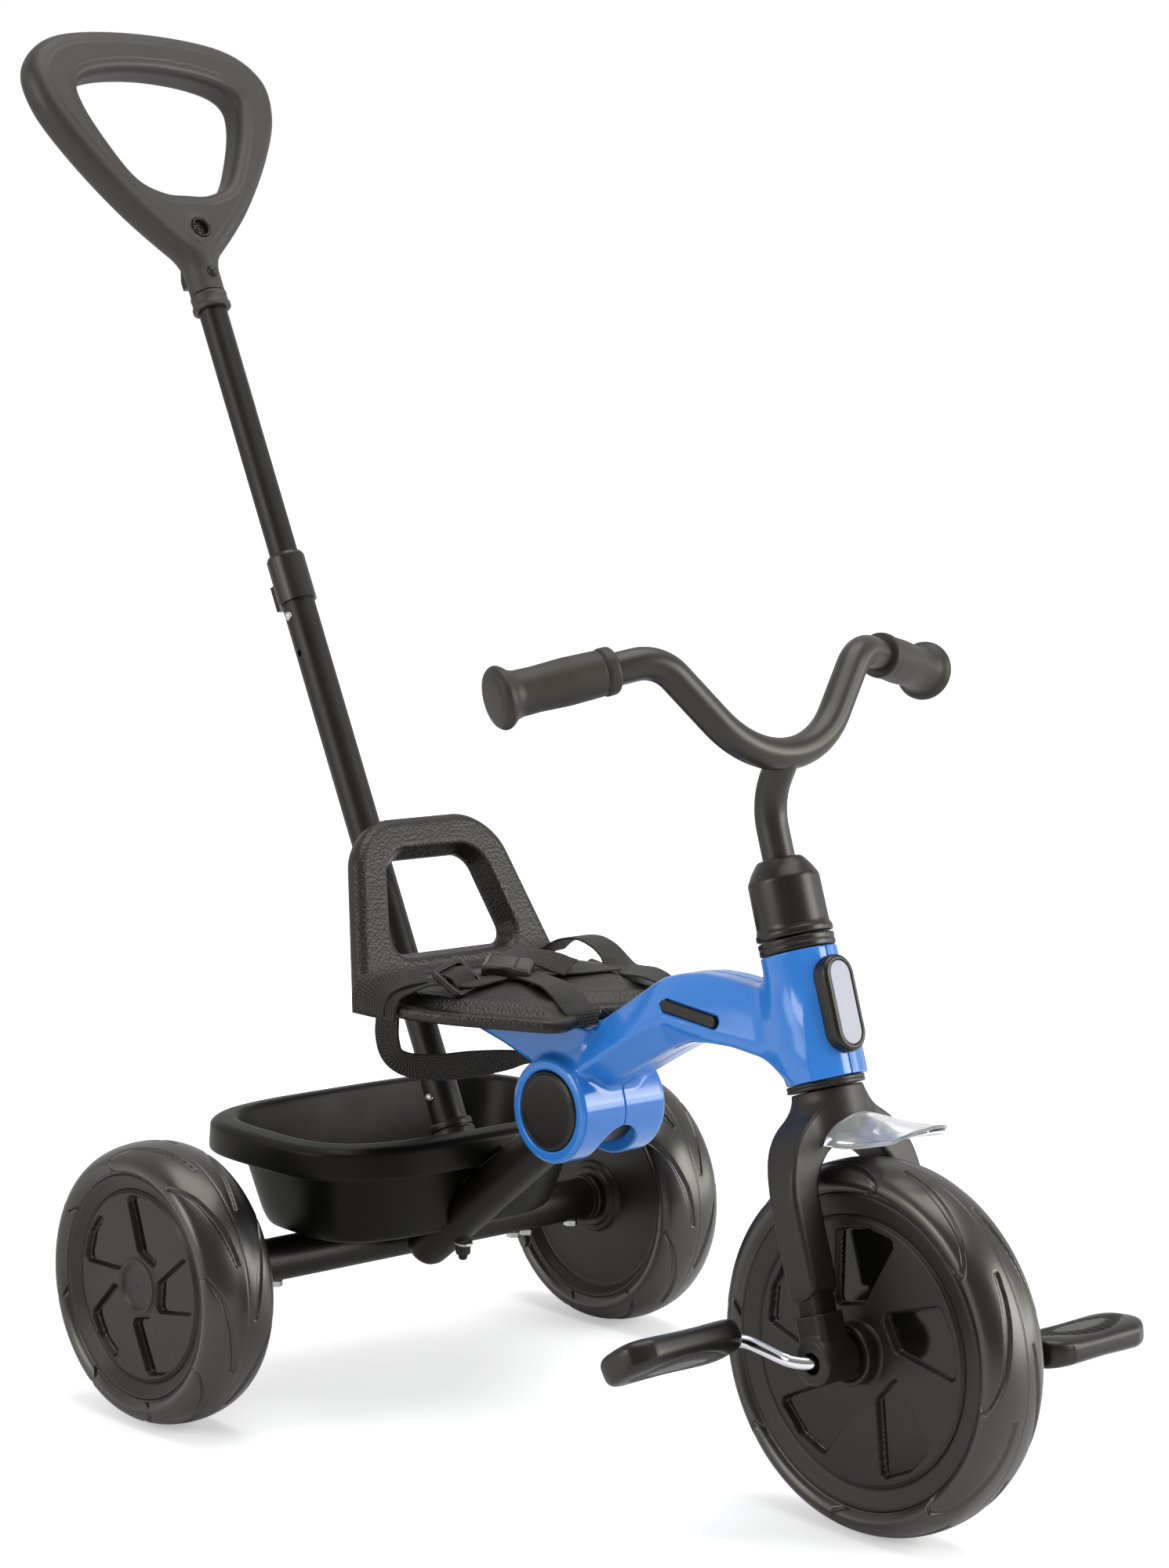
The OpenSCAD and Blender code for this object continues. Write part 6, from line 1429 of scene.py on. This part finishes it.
def fender_place(x, f):
    """The sheet's underside at a distance forward and a share across."""
    edge, arch, wide = (np.interp((x - FENDER_X) / FENDER_LEN, FENDER[:, 0], c) for c in FENDER.T[1:])
    z = FENDER_Z + FENDER_RISE * (edge + arch * (1 - f * f))
    return np.stack(np.broadcast_arrays(x, FENDER_HALF * wide * f, z), -1)


# The fork's front, which the sheet starts from: a round crown in the middle and flat legs beside it
CROWN_R, CROWN_HALF, LEG_FRONT = 24.9, 21.5, 13.9
f = np.sin(np.linspace(-1, 1, 49) * np.pi / 2)
start = np.full(f.shape, 456.0)
for _ in range(6):
    p = fender_place(start, f)
    ahead, _up = on_head(p)
    round_front = np.sqrt(np.clip(CROWN_R ** 2 - p[:, 1] ** 2, 0, None))
    front = np.where(np.abs(p[:, 1]) < CROWN_HALF, round_front, LEG_FRONT)
    start = start + (front - ahead) / math.cos(HEAD_TILT)
share = np.linspace(0, 1, 60)[:, None]
tip = FENDER_X + FENDER_LEN - 16 * f ** 2
under_side = fender_place(start + share * (tip - start), f[None])
thick = (2.2 + 1.4 * np.exp(-((np.abs(f) - 0.97) / 0.04) ** 2)) * np.sqrt(np.clip(1 - np.abs(f) ** 24, 0, 1))
middle = under_side + [0, 0, 1.2]
rise = thick[:, None] * [0, 0, 0.5]
loop = np.concatenate([middle + rise, middle[:, ::-1] - rise[::-1]], 1)
grid_piece("formed_fender", closed_ring(loop), FENDER_PC, "steering",
           stands_for=["fender"], slot="clear_plastic", crease=50)

# %% [markdown]
# The photograph is a plain studio shot on a white sweep. The floor is matt white and takes the trike's shadow. It
# glows a little to the eye, weakly by the trike and fully further off, so that it runs into the white background.

# %% Floor
floor_mesh = bpy.data.meshes.new("floor")
floor_mesh.from_pydata([(-30, -30, 0), (30, -30, 0), (30, 30, 0), (-30, 30, 0)], [], [(0, 1, 2, 3)])
floor = bpy.data.objects.new("floor", floor_mesh)
bpy.context.scene.collection.objects.link(floor)
FLOOR, tree, shader, mm = new_finish("studio_floor")
shader.inputs["Base Color"].default_value = colour("f4f4f4")
shader.inputs["Roughness"].default_value = 0.9
shader.inputs["Specular IOR Level"].default_value = 0.1
rays = add(tree, "ShaderNodeLightPath")
seen = add(tree, "ShaderNodeMath", {"operation": "MAXIMUM"}, i0=rays.outputs["Is Camera Ray"],
           i1=rays.outputs["Is Transmission Ray"])
away = add(tree, "ShaderNodeVectorMath", {"operation": "LENGTH"}, i0=mm)
fade = add(tree, "ShaderNodeMapRange", {"interpolation_type": "SMOOTHSTEP"}, Value=away.outputs["Value"],
           i1=500.0, i2=2200.0, i3=0.4, i4=1.0)
glow = add(tree, "ShaderNodeMath", {"operation": "MULTIPLY"}, i0=seen.outputs[0], i1=fade.outputs[0])
tree.links.new(glow.outputs[0], shader.inputs["Emission Strength"])
shader.inputs["Emission Color"].default_value = (1.0, 1.0, 1.0, 1.0)
floor_mesh.materials.append(FLOOR)
print("floor", [round(side) for side in floor.dimensions], "m")

# %% [markdown]
# The world is white to the eye and dimmer as a lamp. In mirrors it is pale behind and above the trike and darker round
# the camera, as in a studio, so black pieces stay black and take light on their edges. Two lit cards, low beside the
# trike, are seen only in mirrors and lay the long highlights on tyres and frame.

# %% World

world = bpy.data.worlds.new("studio")
bpy.context.scene.world = world
world.use_nodes = True
tree = world.node_tree
tree.nodes.clear()
rays = add(tree, "ShaderNodeLightPath")
seen = add(tree, "ShaderNodeMath", {"operation": "MAXIMUM"}, i0=rays.outputs["Is Camera Ray"],
           i1=rays.outputs["Is Transmission Ray"])
way = add(tree, "ShaderNodeTexCoord")
facing = add(tree, "ShaderNodeVectorMath", {"operation": "DOT_PRODUCT"}, i0=way.outputs["Generated"],
             i1=(0.71, -0.69, 0.15))
height = add(tree, "ShaderNodeSeparateXYZ", Vector=way.outputs["Generated"])
from_side = add(tree, "ShaderNodeMapRange", {"interpolation_type": "SMOOTHSTEP"}, Value=facing.outputs["Value"],
                i1=-0.1, i2=0.75, i3=0.75, i4=0.28)
from_above = add(tree, "ShaderNodeMapRange", {"interpolation_type": "SMOOTHSTEP"}, Value=height.outputs[2],
                 i1=0.35, i2=0.8, i3=0.0, i4=0.4)
room = add(tree, "ShaderNodeMath", {"operation": "MAXIMUM"}, i0=from_side.outputs[0], i1=from_above.outputs[0])
# The cards: direction, cosine where a card begins and where it is at its full level, and that level. The first is a
# broad one to the trike's left, the second a narrow one to its right
CARDS = (((0.67, 0.74, 0.02), 0.8, 0.97, 6.0), ((-0.47, -0.88, 0.08), 0.965, 0.99, 3.0))
near_floor = add(tree, "ShaderNodeMapRange", {"interpolation_type": "SMOOTHSTEP"}, Value=height.outputs[2],
                 i1=0.06, i2=0.26, i3=1.0, i4=0.05)
for card, edge, core, level in CARDS:
    near = add(tree, "ShaderNodeVectorMath", {"operation": "DOT_PRODUCT"}, i0=way.outputs["Generated"], i1=card)
    shine = add(tree, "ShaderNodeMapRange", {"interpolation_type": "SMOOTHSTEP"}, Value=near.outputs["Value"],
                i1=edge, i2=core, i3=0.0, i4=level)
    shine = add(tree, "ShaderNodeMath", {"operation": "MULTIPLY"}, i0=shine.outputs[0], i1=near_floor.outputs[0])
    room = add(tree, "ShaderNodeMath", {"operation": "ADD"}, i0=room.outputs[0], i1=shine.outputs[0])
mirrored = add(tree, "ShaderNodeMix", i0=rays.outputs["Is Glossy Ray"], i2=0.55, i3=room.outputs[0])
level = add(tree, "ShaderNodeMix", i0=seen.outputs[0], i2=mirrored.outputs[0], i3=1.0)
sky = add(tree, "ShaderNodeBackground", Color=(1, 1, 1, 1), Strength=level.outputs[0])
add(tree, "ShaderNodeOutputWorld", Surface=sky.outputs[0])
print("world with", len(CARDS), "cards")

# %% [markdown]
# Three softboxes light the trike: a broad one overhead that makes the shadow soft, and one from each side.

# %% Lamps


def softbox(name, place, aim, size, watts):
    """A square area lamp that faces a point of the trike."""
    lamp = bpy.data.lights.new(name, "AREA")
    lamp.size = size
    lamp.energy = watts
    obj = bpy.data.objects.new(name, lamp)
    obj.location = place
    obj.rotation_euler = (Vector(aim) - Vector(place)).to_track_quat("-Z", "Y").to_euler()
    bpy.context.scene.collection.objects.link(obj)
    return obj


softbox("overhead_softbox", (0.2, 0.2, 3.2), (0, 0, 0.3), 2.4, 58)
softbox("right_softbox", (-0.4, -2.8, 1.4), (0, 0, 0.4), 1.3, 30)
softbox("front_softbox", (2.7, 1.7, 1.5), (0.1, 0, 0.4), 1.6, 60)
print("softboxes:", len(bpy.data.lights))

# %% [markdown]
# A long lens stands a little above the handlebar. Its place, turn, focal length and shift were fitted to the wheels and
# tubes of the photograph, in the photograph's own pixels.

# %% Camera
# The photograph's size, its focal length and the place where the lens's axis meets it, in pixels
PHOTO_WIDE, PHOTO_TALL, FOCAL_PX, AXIS_PX = 1491, 2000, 4469.67, (816.03, 1127.8)
SENSOR = 36

camera = bpy.data.cameras.new("photo_camera")
camera.sensor_width = SENSOR
camera.lens = FOCAL_PX * SENSOR / PHOTO_TALL
camera.shift_x = (PHOTO_WIDE / 2 - AXIS_PX[0]) / PHOTO_TALL
camera.shift_y = (AXIS_PX[1] - PHOTO_TALL / 2) / PHOTO_TALL
camera.clip_start, camera.clip_end = 0.05, 100
az, el, roll = np.radians([44.11, 8.64, 1.58])
back = np.array([np.cos(az) * np.cos(el), -np.sin(az) * np.cos(el), np.sin(el)])
right = np.array([np.sin(az), np.cos(az), 0])
up = np.cross(back, right)
right, up = np.cos(roll) * right + np.sin(roll) * up, np.cos(roll) * up - np.sin(roll) * right
viewer = bpy.data.objects.new("photo_camera", camera)
turn = np.eye(4)
turn[:3, :3] = np.stack([right, up, back], 1)
turn[:3, 3] = metres([1966.6, -1664.1, 763.3])
viewer.matrix_world = Matrix(turn.tolist())
bpy.context.scene.collection.objects.link(viewer)
bpy.context.scene.camera = viewer
bpy.context.scene.view_settings.view_transform = "Standard"
print("camera at", np.round(turn[:3, 3], 3))
